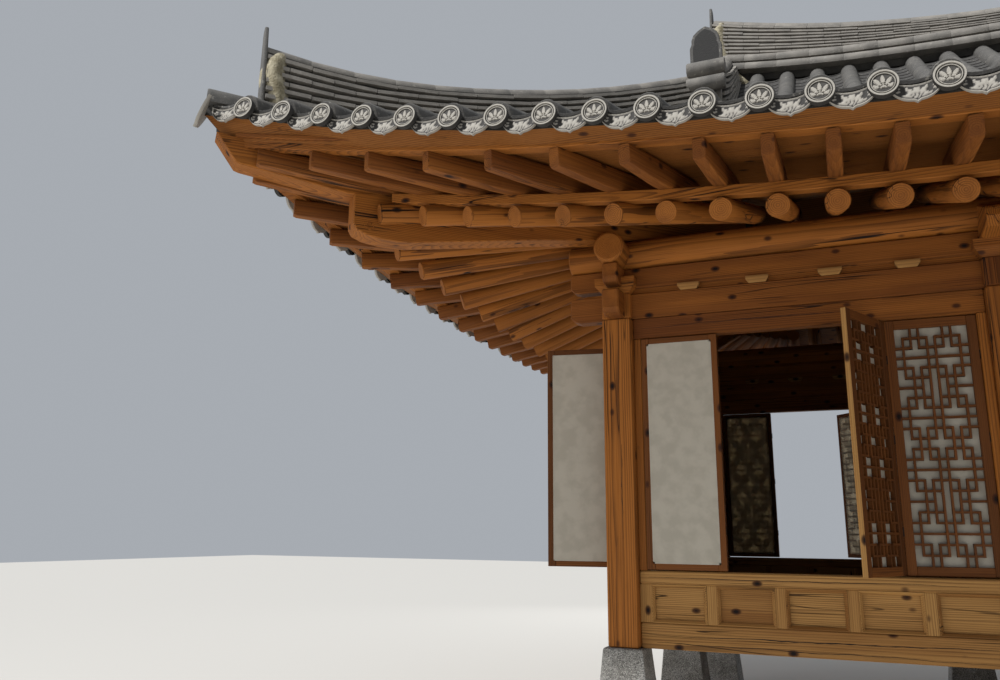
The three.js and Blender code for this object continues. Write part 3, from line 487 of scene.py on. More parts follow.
class Shape:
    """A mesh gathered from many solids, with a grain place and a tone kept at every point."""

    def __init__(self, seed: int) -> None:
        """Starts an empty mesh whose draws follow a seed."""
        self.random = np.random.default_rng(seed)
        self.points: list[np.ndarray] = []
        self.grains: list[np.ndarray] = []
        self.tones: list[np.ndarray] = []
        self.reliefs: list[np.ndarray] = []
        self.faces: list[list[int]] = []
        self.count = 0

    def add(
        self,
        points: Iterable,
        faces: Iterable[Sequence[int]],
        place: Matrix | None = None,
        along: int = 0,
        heart: float = 0.0,
        tone: float | None = None,
        relief: Sequence[float] | None = None,
    ) -> None:
        """Adds one solid.

        Args:
            points: Its points in its own frame.
            faces: Its faces as point numbers, facing out.
            place: Where it goes in the house, when not in place already.
            along: Which of its own axes the grain follows.
            heart: How far the tree's heart lies from the solid's middle.
            tone: Its shade from 0 to 1, drawn at random when left out.
            relief: For each point, how proud it stands, from 0 to 1.
        """
        own = np.array([tuple(p) for p in points], float)
        drawn = self.random.random(3)
        tone = drawn[0] if tone is None else tone
        grain = np.roll(own, -along, axis=1)
        grain = grain - (grain.max(0) + grain.min(0)) / 2
        grain = grain + np.array([drawn[1] * 60, heart * (0.6 + drawn[2]), heart * (1.4 - drawn[2])])
        if place is not None:
            turn = np.array(place.to_3x3())
            own = own @ turn.T + np.array(place.translation)
        self.points.append(own)
        self.grains.append(grain)
        self.tones.append(np.full(len(own), tone))
        self.reliefs.append(np.zeros(len(own)) if relief is None else np.array(relief, float))
        mirrored = place is not None and place.to_3x3().determinant() < 0
        for face in faces:
            numbers = [self.count + n for n in face]
            self.faces.append(numbers[::-1] if mirrored else numbers)
        self.count += len(own)

    def loft(self, rings: Sequence[Sequence], capped: bool = True, **options) -> None:
        """Adds a solid through rings of equally many points.

        Args:
            rings: Rings of 3-D points, each anticlockwise when seen from ahead along the loft.
            capped: Whether the first and last rings are closed by faces.
            options: As for add.
        """
        size = len(rings[0])
        faces = []
        for i in range(len(rings) - 1):
            low, high = i * size, (i + 1) * size
            faces += [[low + k, low + (k + 1) % size, high + (k + 1) % size, high + k] for k in range(size)]
        if capped:
            faces.append(list(range(size))[::-1])
            faces.append([(len(rings) - 1) * size + k for k in range(size)])
        self.add([p for one in rings for p in one], faces, **options)

    def prism(
        self, outline: Sequence[Point2], start: float, end: float, chamfer: float = 0.006, **options
    ) -> None:
        """Adds an outline in the x-z plane pushed along y, with its edges taken off.

        Args:
            outline: Its corners as (x, z), anticlockwise seen from the front, where y is low.
            start: The lower y.
            end: The higher y.
            chamfer: The size of the flats on the edges, or 0 for sharp edges.
            options: As for add.
        """
        if chamfer <= 0:
            steps = [(end, list(outline)), (start, list(outline))]
        else:
            full = cut_corners(outline, chamfer)
            small = offset(full, chamfer * 0.7)
            steps = [(end, small), (end - chamfer, full), (start + chamfer, full), (start, small)]
        self.loft([[(x, y, z) for x, z in points] for y, points in steps], **options)

    def block(self, low: Sequence[float], high: Sequence[float], chamfer: float = 0.006, **options) -> None:
        """Adds a block between two corners, its grain along its longest side unless told otherwise."""
        sizes = [high[i] - low[i] for i in range(3)]
        options.setdefault("along", int(np.argmax(sizes)))
        chamfer = min(chamfer, min(sizes) * 0.3)
        corners = [(low[0], low[2]), (high[0], low[2]), (high[0], high[2]), (low[0], high[2])]
        self.prism(corners, low[1], high[1], chamfer, **options)

    def build(self, name: str, finish: Finish) -> Thing:
        """Makes the object with its attributes and finish.

        Args:
            name: The object's name.
            finish: Its material.

        Returns:
            The object, at the origin.
        """
        name = name.replace(" ", "_")
        mesh = bpy.data.meshes.new(name)
        mesh.from_pydata(np.concatenate(self.points).tolist(), [], self.faces)
        for key, data in (("grain", self.grains), ("tone", self.tones), ("relief", self.reliefs)):
            keep_at_points(mesh, key, np.concatenate(data))
        mesh.materials.append(finish.material)
        mesh.validate()
        return in_scene(name, mesh)


def smooth(thing: Thing, degrees: float = 35.0) -> Thing:
    """Shades a piece smooth across edges that bend less than the angle and returns it."""
    mesh = thing.data
    mesh.shade_smooth()
    mesh.set_sharp_from_angle(angle=radians(degrees))
    return thing


# Scattering of repeated pieces


@dataclass
class Spot:
    """One place where a repeated piece goes: its origin, its turn and its size along its own axes."""

    at: Vector
    turn: Euler
    size: Vector

    @classmethod
    def of(cls, place: Matrix, size: Sequence[float] = (1, 1, 1)) -> Spot:
        """A spot with the turn and origin of a matrix."""
        return cls(place.translation.copy(), place.to_euler(), Vector(size))


class Scatter:
    """One geometry-nodes tree that sets a piece at every spot of a cloud and keeps its grain and tone."""

    def __init__(self) -> None:
        """Builds the tree."""
        tree = bpy.data.node_groups.new("Scatter pieces", "GeometryNodeTree")
        self.tree = tree
        named = {"Spots": "Geometry", "Piece": "Object", "Material": "Material", "Seed": "Int"}
        for name, kind in named.items():
            tree.interface.new_socket(name=name, in_out="INPUT", socket_type=f"NodeSocket{kind}")
        tree.interface.new_socket(name="Geometry", in_out="OUTPUT", socket_type="NodeSocketGeometry")
        given = add_node(tree, "NodeGroupInput").outputs
        piece = add_node(tree, "GeometryNodeObjectInfo", {"Object": given["Piece"]}).outputs["Geometry"]
        size = self._read("size")
        turn = add_node(tree, "FunctionNodeEulerToRotation", {0: self._read("turn")}).outputs[0]
        inputs = {"Points": given["Spots"], "Instance": piece, "Rotation": turn, "Scale": size}
        placed = add_node(tree, "GeometryNodeInstanceOnPoints", inputs).outputs[0]
        draw = add_node(tree, "FunctionNodeRandomValue", {"Seed": given["Seed"]}, data_type="FLOAT")
        toned = self._store(placed, "tone", draw.outputs[1], "FLOAT", "INSTANCE")
        real = add_node(tree, "GeometryNodeRealizeInstances", {0: toned}).outputs[0]
        last = self._store(real, "grain", self._grain(size), "FLOAT_VECTOR", "POINT")
        for spare in ("turn", "size"):
            last = add_node(tree, "GeometryNodeRemoveAttribute", {"Geometry": last, "Name": spare}).outputs[0]
        dressed = add_node(tree, "GeometryNodeSetMaterial", {"Geometry": last, "Material": given["Material"]})
        add_node(tree, "NodeGroupOutput", {0: dressed.outputs[0]})

    def _read(self, name: str, kind: str = "FLOAT_VECTOR") -> Socket:
        """Reads a named attribute of the geometry."""
        node = add_node(self.tree, "GeometryNodeInputNamedAttribute", {"Name": name}, data_type=kind)
        return node.outputs[0]

    def _store(self, geometry: Socket, name: str, value: Socket, kind: str, domain: str) -> Socket:
        """Stores a value as a named attribute and returns the geometry that has it."""
        inputs = {"Geometry": geometry, "Name": name, "Value": value}
        options = {"data_type": kind, "domain": domain}
        return add_node(self.tree, "GeometryNodeStoreNamedAttribute", inputs, **options).outputs[0]

    def _grain(self, size: Socket) -> Socket:
        """Each point's place in the wood: the piece's own, stretched with it and moved by its tone."""
        stretched = scaled(self.tree, self._read("grain"), size)
        along = times(self.tree, self._read("tone", "FLOAT"), 60.0)
        away = add_node(self.tree, "ShaderNodeCombineXYZ", {0: along}).outputs[0]
        inputs = {0: stretched, 1: away}
        return add_node(self.tree, "ShaderNodeVectorMath", inputs, operation="ADD").outputs[0]

    def run(
        self, name: str, piece: Thing, spots: Sequence[Spot], finish: Finish, seed: int
    ) -> Thing:
        """Sets a piece at every spot and joins all of them in one mesh.

        Args:
            name: The new object's name.
            piece: The piece to repeat, which is removed afterwards.
            spots: Where it goes.
            finish: The material of all of them.
            seed: Fixes the tones that are drawn.

        Returns:
            The new object, at the origin.
        """
        name = name.replace(" ", "_")
        cloud = bpy.data.meshes.new(name + "_spots")
        cloud.from_pydata([tuple(s.at) for s in spots], [], [])
        keep_at_points(cloud, "turn", np.array([tuple(s.turn) for s in spots]))
        keep_at_points(cloud, "size", np.array([tuple(s.size) for s in spots]))
        holder = in_scene(name + " holder", cloud)
        modifier = holder.modifiers.new("Scatter", "NODES")
        modifier.node_group = self.tree
        values = {"Piece": piece, "Material": finish.material, "Seed": seed}
        for item in self.tree.interface.items_tree:
            if item.in_out == "INPUT" and item.name in values:
                modifier[item.identifier] = values[item.name]
        bpy.context.view_layer.update()
        graph = bpy.context.evaluated_depsgraph_get()
        seen = holder.evaluated_get(graph)
        mesh = bpy.data.meshes.new_from_object(seen, preserve_all_data_layers=True, depsgraph=graph)
        mesh.name = name
        thing = in_scene(name, mesh)
        for spare in (holder, piece):
            bpy.data.objects.remove(spare)
        return smooth(thing)


# The house's sides


@dataclass(frozen=True)
class SideFacts:
    """How one side of the house lies and how its bays are filled."""

    label: str
    turn: float
    face: float
    half: float
    bay: float
    leaves: int
    panels: int
    shut: tuple[tuple[int, ...], ...]

    @property
    def frame(self) -> Matrix:
        """The side's own frame: x to the right seen from outside, y inward from the posts' faces."""
        angle = radians(self.turn)
        shift = Vector((sin(angle) * self.face, -cos(angle) * self.face, 0))
        return Matrix.Translation(shift) @ Matrix.Rotation(angle, 4, "Z")

    @property
    def roof(self) -> float:
        """Half the length of the side's eave."""
        return ROOF_X if self.half == HALF_X else ROOF_Y


class Side(Enum):
    """The four sides, with the window leaves that are shut in each bay."""

    FRONT = SideFacts("front", 0, FACE_Y, HALF_X, BAY_FRONT, 4, 5, ((0, 3), (0, 1, 2, 3), (0, 1, 2, 3)))
    RIGHT = SideFacts("right", 90, FACE_X, HALF_Y, BAY_SIDE, 3, 4, ((0, 1, 2), (0, 1, 2)))
    BACK = SideFacts("back", 180, FACE_Y, HALF_X, BAY_FRONT, 4, 5, ((0, 1, 2, 3), (0, 1, 2, 3), (0, 3)))
    LEFT = SideFacts("left", -90, FACE_X, HALF_Y, BAY_SIDE, 3, 4, ((0, 1, 2), (0, 1)))


@dataclass
class SubAssembly:
    """Something built of several pieces, each of which rides on the house and stands for its CAD nodes."""

    scatter: Scatter
    pieces: list[Thing] = field(default_factory=list, init=False)

    def keep(self, piece: Thing, nodes: Iterable[str] = ()) -> None:
        """Takes a finished piece into the house.

        Args:
            piece: The piece, at its place.
            nodes: The CAD nodes that it stands for.
        """
        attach(piece, "root")
        names = list(nodes)
        if names:
            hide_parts(*names)
        self.pieces.append(piece)

    def build(self) -> None:
        """Makes the pieces."""
        raise NotImplementedError


@dataclass
class OnSide(SubAssembly):
    """A sub-assembly that is built once on each side of the house."""

    side: SideFacts


POSTS = tuple(f"{side}_{i}" for side in ("front", "back") for i in (1, 2, 3, 4)) + ("left_1", "right_1")


@dataclass
class Plinths(SubAssembly):
    """Hewn granite blocks under the posts."""

    worn_edge: float = 0.012
    unevenness: float = 0.004
    dent_size: float = 0.07

    def build(self) -> None:
        """Makes each plinth from its CAD node, its edges worn round and its faces a little uneven."""
        dents = bpy.data.textures.new("hewn faces", "CLOUDS")
        dents.noise_scale = self.dent_size
        for post in POSTS:
            node = bpy.data.objects[f"plinth_{post}"]
            stone = in_scene(f"plinth_stone_{post}", node.data.copy())
            stone.modifiers.new("Weld", "WELD").merge_threshold = 0.0005
            edge = stone.modifiers.new("Bevel", "BEVEL")
            edge.width, edge.segments, edge.limit_method = self.worn_edge, 3, "ANGLE"
            finer = stone.modifiers.new("Subdivide", "SUBSURF")
            finer.subdivision_type, finer.levels = "SIMPLE", 2
            uneven = stone.modifiers.new("Hewn", "DISPLACE")
            uneven.texture, uneven.strength, uneven.texture_coords = dents, self.unevenness, "GLOBAL"
            seen = stone.evaluated_get(bpy.context.evaluated_depsgraph_get())
            done = bpy.data.meshes.new_from_object(seen)
            stone.modifiers.clear()
            stone.data = done
            done.materials.clear()
            done.materials.append(Finish.GRANITE.material)
            self.keep(smooth(stone, 50), [node.name])


def crack(
    shape: Shape, random: np.random.Generator, place: Matrix, ends: Point2, off: float, wide: float = 0.0024
) -> None:
    """Adds a wandering drying crack to a timber's face.

    Args:
        shape: What it is added to.
        random: Where its wandering is drawn from.
        place: The face's frame, its z axis along the grain and its y axis into the timber.
        ends: Where it starts and ends along the grain.
        off: How far beside the face's middle it starts.
        wide: Half its width at its widest, apart from the hairline it tapers to.
    """
    step, sway, hairline, proud, deep = 0.035, 0.0028, 0.0006, -0.0005, 0.001
    rings, steps = [], int((ends[1] - ends[0]) / step)
    for i in range(steps + 1):
        part = i / steps
        off += random.uniform(-sway, sway)
        half = hairline + wide * sin(pi * part) * random.uniform(0.35, 1.0)
        z = ends[0] + (ends[1] - ends[0]) * part
        corners = ((-half, proud), (half, proud), (half, deep), (-half, deep))
        rings.append([(off + x, y, z) for x, y in corners])
    shape.loft(rings, place=place, along=2)


@dataclass
class Posts(SubAssembly):
    """Square pine posts with their edges taken off."""

    chamfer: float = 0.012

    def build(self) -> None:
        """Makes one timber for each post."""
        for number, post in enumerate(POSTS):
            low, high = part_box(f"post_{post}")
            shape = Shape(100 + number)
            shape.block(low, high, self.chamfer, along=2, heart=0.02, tone=0.3 * ((number * 5) % 7) / 7)
            self.keep(shape.build(f"pine post {post}", Finish.PINE), [f"post_{post}"])
        self._cracks()

    def _cracks(self) -> None:
        """Adds the long drying crack down each face of every post."""
        shape, random = Shape(140), np.random.default_rng(141)
        for post in POSTS:
            low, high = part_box(f"post_{post}")
            middle = (low + high) / 2
            for face in range(4):
                turn = Matrix.Rotation(face * pi / 2, 4, "Z")
                to_face = turn @ Matrix.Translation((0, -POST / 2, 0))
                place = Matrix.Translation((middle.x, middle.y, 0)) @ to_face
                off = random.uniform(-0.035, 0.035)
                ends = (random.uniform(low.z + 0.2, low.z + 0.7), random.uniform(high.z - 0.9, high.z - 0.3))
                crack(shape, random, place, ends, off)
        self.keep(shape.build("drying cracks in the posts", Finish.CRACK))


# Windows

# The lattice repeats after eleven rows. UPRIGHTS gives the lines that have an upright bar in each row, and
# LEVELS gives where the cross bars over each row start and end, counted in columns.
ALL_LINES = (1, 2, 3, 4, 5, 6, 7, 8)
BESIDE = (1, 4, 5, 8)
INNER = (2, 3, 4, 5, 6, 7)
PAIRS = (2, 3, 6, 7)
STEP = (ALL_LINES, BESIDE, BESIDE, ALL_LINES)
UPRIGHTS = (PAIRS, *STEP, INNER, INNER, *STEP)
TWO_BARS = ((1, 4), (5, 8))
THREE_BARS = ((0, 2), (3, 6), (7, 9))
END_BARS = ((0, 3), (6, 9))
WHOLE_BAR = ((0, 9),)
CROSSING = (TWO_BARS, THREE_BARS, WHOLE_BAR, THREE_BARS, TWO_BARS)
LEVELS = (*CROSSING, END_BARS, *CROSSING)


@dataclass(frozen=True)
class Leaf:
    """A window leaf: a frame, a lattice on its outer face and paper behind the lattice."""

    width: float
    place: Matrix
    stile: float = 0.055
    thick: float = 0.035
    bar_width: float = 0.0140
    bar_depth: float = 0.0305
    bar_face: float = 0.004
    columns: int = 9
    rows: int = 23
    paper_lap: float = 0.016
    paper_border: float = 0.012
    paper_thick: float = 0.0006

    def frame(self, wood: Shape) -> None:
        """Adds the two stiles and the two rails."""
        low, high, inner = LEAF_BOTTOM, LEAF_TOP, self.width - self.stile
        options = {"chamfer": 0.003, "place": self.place, "heart": 0.05}
        for x0, x1 in ((0.0, self.stile), (inner, self.width)):
            wood.block((x0, 0, low), (x1, self.thick, high), **options)
        for z0, z1 in ((low, low + self.stile), (high - self.stile, high)):
            wood.block((self.stile, 0.001, z0), (inner, self.thick - 0.001, z1), **options)

    def sheets(self, paper: Shape) -> None:
        """Adds the paper pasted on the inner side, over the lattice and the frame's edges, and its border."""
        low, high, inner = LEAF_BOTTOM + self.stile, LEAF_TOP - self.stile, self.width - self.stile
        lap, strip, back = self.paper_lap, self.paper_border, self.thick + self.paper_thick
        x0, x1, z0, z1 = self.stile - lap, inner + lap, low - lap, high + lap
        paper.block((x0, self.thick - 0.0002, z0), (x1, back, z1), 0, place=self.place)
        uprights = ((x0, x0 + strip, z0, z1), (x1 - strip, x1, z0, z1))
        for a0, a1, b0, b1 in (*uprights, (x0, x1, z0, z0 + strip), (x0, x1, z1 - strip, z1)):
            paper.block((a0, back, b0), (a1, back + self.paper_thick, b1), 0, place=self.place)

    def lattice(self) -> list[Spot]:
        """Works out where every bar goes.

        Returns:
            A spot for each bar, its x axis along the bar.
        """
        across = (self.width - 2 * self.stile) / self.columns
        up = (LEAF_TOP - LEAF_BOTTOM - 2 * self.stile) / self.rows
        floor = LEAF_BOTTOM + self.stile
        middle = self.bar_face + self.bar_depth / 2
        spots = []
        for line in range(1, self.columns):
            start = None
            for row in range(self.rows + 1):
                filled = row < self.rows and line in UPRIGHTS[row % len(UPRIGHTS)]
                if filled and start is None:
                    start = row
                elif not filled and start is not None:
                    at = (self.stile + across * line, middle, floor + up * (start + row) / 2)
                    spots.append(self._bar(at, up * (row - start), True))
                    start = None
        for level in range(1, self.rows):
            for first, last in LEVELS[(level - 1) % len(LEVELS)]:
                at = (self.stile + across * (first + last) / 2, middle + 0.0008, floor + up * level)
                spots.append(self._bar(at, across * (last - first), False))
        return spots

    def _bar(self, at: Point3, length: float, upright: bool) -> Spot:
        """A bar about its middle."""
        place = self.place @ Matrix.Translation(at)
        if upright:
            place = place @ Matrix.Rotation(-pi / 2, 4, "Y")
        return Spot.of(place, (length + self.bar_width, self.bar_depth, self.bar_width))


def paper_for(side: SideFacts) -> Finish:
    """The paper of a side's leaves: the back's is the thin one."""
    return Finish.THIN_PAPER if side.label == "back" else Finish.PAPER


def unit_bar() -> Thing:
    """A bar one metre in each direction about its middle, its grain along x."""
    shape = Shape(7)
    shape.block((-0.5, -0.5, -0.5), (0.5, 0.5, 0.5), 0, along=0)
    return shape.build("unit bar", Finish.LEAF_PINE)


@dataclass
class Walls(OnSide):
    """The bays of one side: floor beam, panelled dado, sill, jambs, lintel and the leaves that are shut."""

    jamb: float = 0.055
    muntin: float = 0.065
    first_muntin: float = 0.0455
    setback: float = 0.030
    bead: float = 0.020
    sill_proud: float = 0.006
    leaf_gap: float = 0.003
    knuckle: float = 0.005
    knuckle_length: float = 0.055

    def build(self) -> None:
        """Makes the side's bays, one piece for each material."""
        side, seed = self.side, int(self.side.turn) + 500
        dado, frame, wood, paper, iron, split = (Shape(seed + i) for i in range(6))
        random = np.random.default_rng(seed)
        bars: list[Spot] = []
        for number, shut in enumerate(side.shut):
            place = side.frame @ Matrix.Translation((-side.half + side.bay * number, 0, 0))
            self._dado(dado, place)
            self._surround(frame, place)
            self._cracks(split, random, place)
            wide = (side.bay - POST - 2 * self.jamb) / side.leaves
            for leaf_number in shut:
                left = POST / 2 + self.jamb + wide * leaf_number
                shift = Matrix.Translation((left + self.leaf_gap / 2, LEAF_FACE, 0))
                leaf = Leaf(wide - self.leaf_gap, place @ shift)
                leaf.frame(wood)
                leaf.sheets(paper)
                bars += leaf.lattice()
            self._hinges(iron, place, wide)
        nodes = [f"wall_{side.label}_{i + 1}" for i in range(len(side.shut))]
        # The sills, dado and floor beams take the lighter, yellower pine: painted sunlight.
        self.keep(dado.build(f"{side.label} sills and dado panels", Finish.SILL_PINE), nodes)
        for shape, what, finish in (
            (frame, "jambs and lintels", Finish.PINE),
            (split, None, Finish.CRACK),
            (wood, "window frames", Finish.LEAF_PINE),
            (paper, "window paper", paper_for(side)),
            (iron, "hinges", Finish.IRON),
        ):
            name = f"{side.label} {what}" if what else f"drying cracks in the {side.label} beams"
            self.keep(shape.build(name, finish))
        self.keep(self.scatter.run(f"{side.label} window lattice", unit_bar(), bars, Finish.LEAF_PINE, seed))

    def _dado(self, shape: Shape, place: Matrix) -> None:
        """Adds a bay's floor beam, sill rail, muntins and beaded panels."""
        side, near, far = self.side, WALL_FACE, WALL_FACE + WALL_DEPTH
        left, right = POST / 2, self.side.bay - POST / 2
        timber = {"place": place, "heart": 0.09}
        shape.block((left, near, FLOOR_BEAM_Z), (right, far, FLOOR_TOP), 0.010, **timber)
        shape.block((left, near - self.sill_proud, SILL_BOTTOM), (right, far, SILL_TOP), 0.012, **timber)
        first = left + self.first_muntin
        pitch = (side.bay - 2 * first) / side.panels
        edges = [left] + [first + pitch * i for i in range(side.panels + 1)] + [right]
        for i in range(side.panels + 1):
            x0 = left if i == 0 else edges[i + 1] - self.muntin / 2
            x1 = right if i == side.panels else edges[i + 1] + self.muntin / 2
            low, high = (x0, near + 0.002, FLOOR_TOP), (x1, far - 0.002, SILL_BOTTOM)
            shape.block(low, high, 0.003, along=2, **timber)
        for i in range(side.panels):
            x0, x1 = edges[i + 1] + self.muntin / 2, edges[i + 2] - self.muntin / 2
            low, high = (x0, near + self.setback, FLOOR_TOP), (x1, far - 0.01, SILL_BOTTOM)
            shape.block(low, high, 0, place=place, heart=0.03)
            self._bead(shape, place, (x0, FLOOR_TOP, x1, SILL_BOTTOM))

    def _cracks(self, shape: Shape, random: np.random.Generator, place: Matrix) -> None:
        """Adds the drying cracks along a bay's floor beam, its sill rail and its lintel."""
        lie = Matrix.Rotation(pi / 2, 4, "Y")
        first, last = POST / 2 + 0.03, self.side.bay - POST / 2 - 0.03
        for level, near, wide in (
            (FLOOR_BEAM_Z * 0.48 + FLOOR_TOP * 0.52, WALL_FACE, 0.0036),
            (FLOOR_BEAM_Z * 0.75 + FLOOR_TOP * 0.25, WALL_FACE, 0.0016),
            ((SILL_BOTTOM + SILL_TOP) / 2, WALL_FACE - self.sill_proud, 0.0016),
            ((LINTEL_BOTTOM + HEAD_BEAM_Z) / 2, WALL_FACE, 0.0020),
        ):
            ends = (random.uniform(first, first + 0.5), random.uniform(last - 0.8, last))
            crack(shape, random, place @ Matrix.Translation((0, near, level)) @ lie, ends, 0.0, wide)

    def _bead(self, shape: Shape, place: Matrix, edges: tuple[float, float, float, float]) -> None:
        """Adds the mitred bead round one panel, whose edges are given as left, bottom, right and top."""
        x0, z0, x1, z1 = edges
        outer = [(x0, z0), (x1, z0), (x1, z1), (x0, z1)]
        edge, inner = offset(outer, 0.005), offset(outer, self.bead)
        front, back = WALL_FACE - 0.002, WALL_FACE + self.setback + 0.002
        steps = ((outer, front), (edge, front), (inner, front + 0.020), (inner, back), (outer, back))
        rings = [[(x, y, z) for x, z in points] for points, y in ((outer, back), *steps)]
        shape.loft(rings, capped=False, place=place, heart=0.05)

    def _surround(self, shape: Shape, place: Matrix) -> None:
        """Adds a bay's jambs and lintel."""
        near, far = WALL_FACE, WALL_FACE + WALL_DEPTH
        left, right = POST / 2, self.side.bay - POST / 2
        timber = {"place": place, "heart": 0.08}
        shape.block((left, near, LINTEL_BOTTOM), (right, far, HEAD_BEAM_Z), 0.008, **timber)
        for x0, x1 in ((left, left + self.jamb), (right - self.jamb, right)):
            shape.block((x0, near, SILL_TOP), (x1, far, LINTEL_BOTTOM), 0.006, **timber)

    def _hinges(self, shape: Shape, place: Matrix, wide: float) -> None:
        """Adds the knuckles of a bay's hinges."""
        start = POST / 2 + self.jamb
        for number in range(self.side.leaves + 1):
            if self.side.leaves == 4 and number == 2:
                continue
            x = start + wide * number
            for z in (LEAF_BOTTOM + 0.23, (LEAF_BOTTOM + LEAF_TOP) / 2, LEAF_TOP - 0.28):
                knuckle = [(x + u, LEAF_FACE - 0.0015 + v) for u, v in ring(self.knuckle, 10)]
                rings = [[(a, b, z + h) for a, b in knuckle] for h in (0.0, self.knuckle_length)]
                shape.loft(rings, place=place)


@dataclass(frozen=True)
class Swing:
    """How one open leaf stands, in its side's frame.

    The hinge is where it hangs, and turn is its angle there in degrees. A right-hung leaf hangs by its right
    edge, and set_back is how far its outer face lies behind the hinge.
    """

    node: str
    side: Side
    width: float
    hinge: tuple[float, float]
    turn: float
    right_hung: bool = False
    set_back: float = 0.0

    @property
    def leaf(self) -> Leaf:
        """The leaf at its place."""
        hinge = Matrix.Translation((*self.hinge, 0)) @ Matrix.Rotation(radians(self.turn), 4, "Z")
        if self.right_hung:
            hinge = hinge @ Matrix.Translation((self.width, 0, 0)) @ Matrix.Rotation(pi, 4, "Z")
        return Leaf(self.width, self.side.value.frame @ hinge @ Matrix.Translation((0, -self.set_back, 0)))


SWINGS = (
    Swing("window_leaf_front_folded", Side.FRONT, 0.522, (-2.945, 0.0847), 180),
    Swing("window_leaf_front_open", Side.FRONT, 0.522, (-1.8943, 0.085), 245, True),
    Swing("window_leaf_back_folded", Side.BACK, 0.522, (3.4685, 0.0847), 180),
    Swing("window_leaf_back_open", Side.BACK, 0.522, (1.8943, 0.085), -50),
    Swing("window_leaf_left_open", Side.LEFT, 0.57033, (1.87538, 0.085), 279, set_back=0.035),
)


@dataclass
class OpenLeaves(SubAssembly):
    """The window leaves that stand open or folded back."""

    # The thickness of the sheet that carries the painted highlight on each open leaf's free edge.
    edge_thick: float = 0.0008

    def build(self) -> None:
        """Makes each open leaf of its frame, its paper and its lattice."""
        for number, swing in enumerate(SWINGS):
            wood, paper, leaf = Shape(700 + number), Shape(720 + number), swing.leaf
            leaf.frame(wood)
            leaf.sheets(paper)
            label, seen = swing.node.replace("_", " "), paper_for(swing.side.value)
            self.keep(wood.build(f"{label} frame", Finish.LEAF_PINE), [swing.node])
            self.keep(paper.build(f"{label} paper", seen))
            # Each open leaf's free edge gets a sheet of the lighter pine: a painted highlight.
            self.keep(self._edge(swing, 760 + number).build(f"{label} planed edge", Finish.SILL_PINE))
            bars = leaf.lattice()
            self.keep(self.scatter.run(f"{label} lattice", unit_bar(), bars, Finish.LEAF_PINE, number))

    def _edge(self, swing: Swing, seed: int) -> Shape:
        """A thin sheet on a leaf's free edge, for the painted highlight there."""
        edge, leaf, x = Shape(seed), swing.leaf, -self.edge_thick if swing.right_hung else swing.width
        low = (x, 0.002, LEAF_BOTTOM + 0.001)
        high = (x + self.edge_thick, leaf.thick - 0.002, LEAF_TOP - 0.001)
        edge.block(low, high, 0, place=leaf.place, heart=0.03, tone=0.0)
        return edge


@dataclass
class FloorBoards(SubAssembly):
    """Long pine boards on joists, as high as the floor beams."""

    board: float = 0.205
    thick: float = 0.034
    joist: float = 0.09
    joists: int = 9

    def build(self) -> None:
        """Makes the boards and joists."""
        low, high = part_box("floor")
        rows = round((high.y - low.y) / self.board)
        pitch = (high.y - low.y) / rows
        joint, spots = BAY_FRONT / 2, []
        for row in range(rows):
            middle = low.y + pitch * (row + 0.5)
            for i, (x0, x1) in enumerate(((low.x, -joint), (-joint, joint), (joint, high.x))):
                size = (x1 - x0 - 0.002, pitch - 0.003, self.thick)
                drop = self.thick / 2 + 0.0004 * ((row + i) % 3)
                spots.append(Spot.of(Matrix.Translation(((x0 + x1) / 2, middle, FLOOR_TOP - drop)), size))
        under, turn = FLOOR_TOP - self.thick, Matrix.Rotation(pi / 2, 4, "Z")
        for x in np.linspace(low.x + 0.1, high.x - 0.1, self.joists):
            place = Matrix.Translation((x, 0, (low.z + under) / 2)) @ turn
            spots.append(Spot.of(place, (high.y - low.y, self.joist, under - low.z)))
        boards = self.scatter.run("floor boards and joists", unit_bar(), spots, Finish.SILL_PINE, 31)
        self.keep(boards, ["floor"])


# Head frame


def ended_beam(tip: float, low: float, high: float) -> list[Point2]:
    """The outline of a beam whose undersides curve up at both ends.

    Args:
        tip: How far the ends are from the middle.
        low: The underside's height.
        high: The top's height.

    Returns:
        The outline as (x, z), anticlockwise.
    """
    nose = 0.25 * (high - low)
    right = [(tip - 0.07, low), (tip - 0.025, low + 0.3 * nose), (tip, low + nose), (tip, high)]
    return [(-x, z) for x, z in reversed(right)] + right


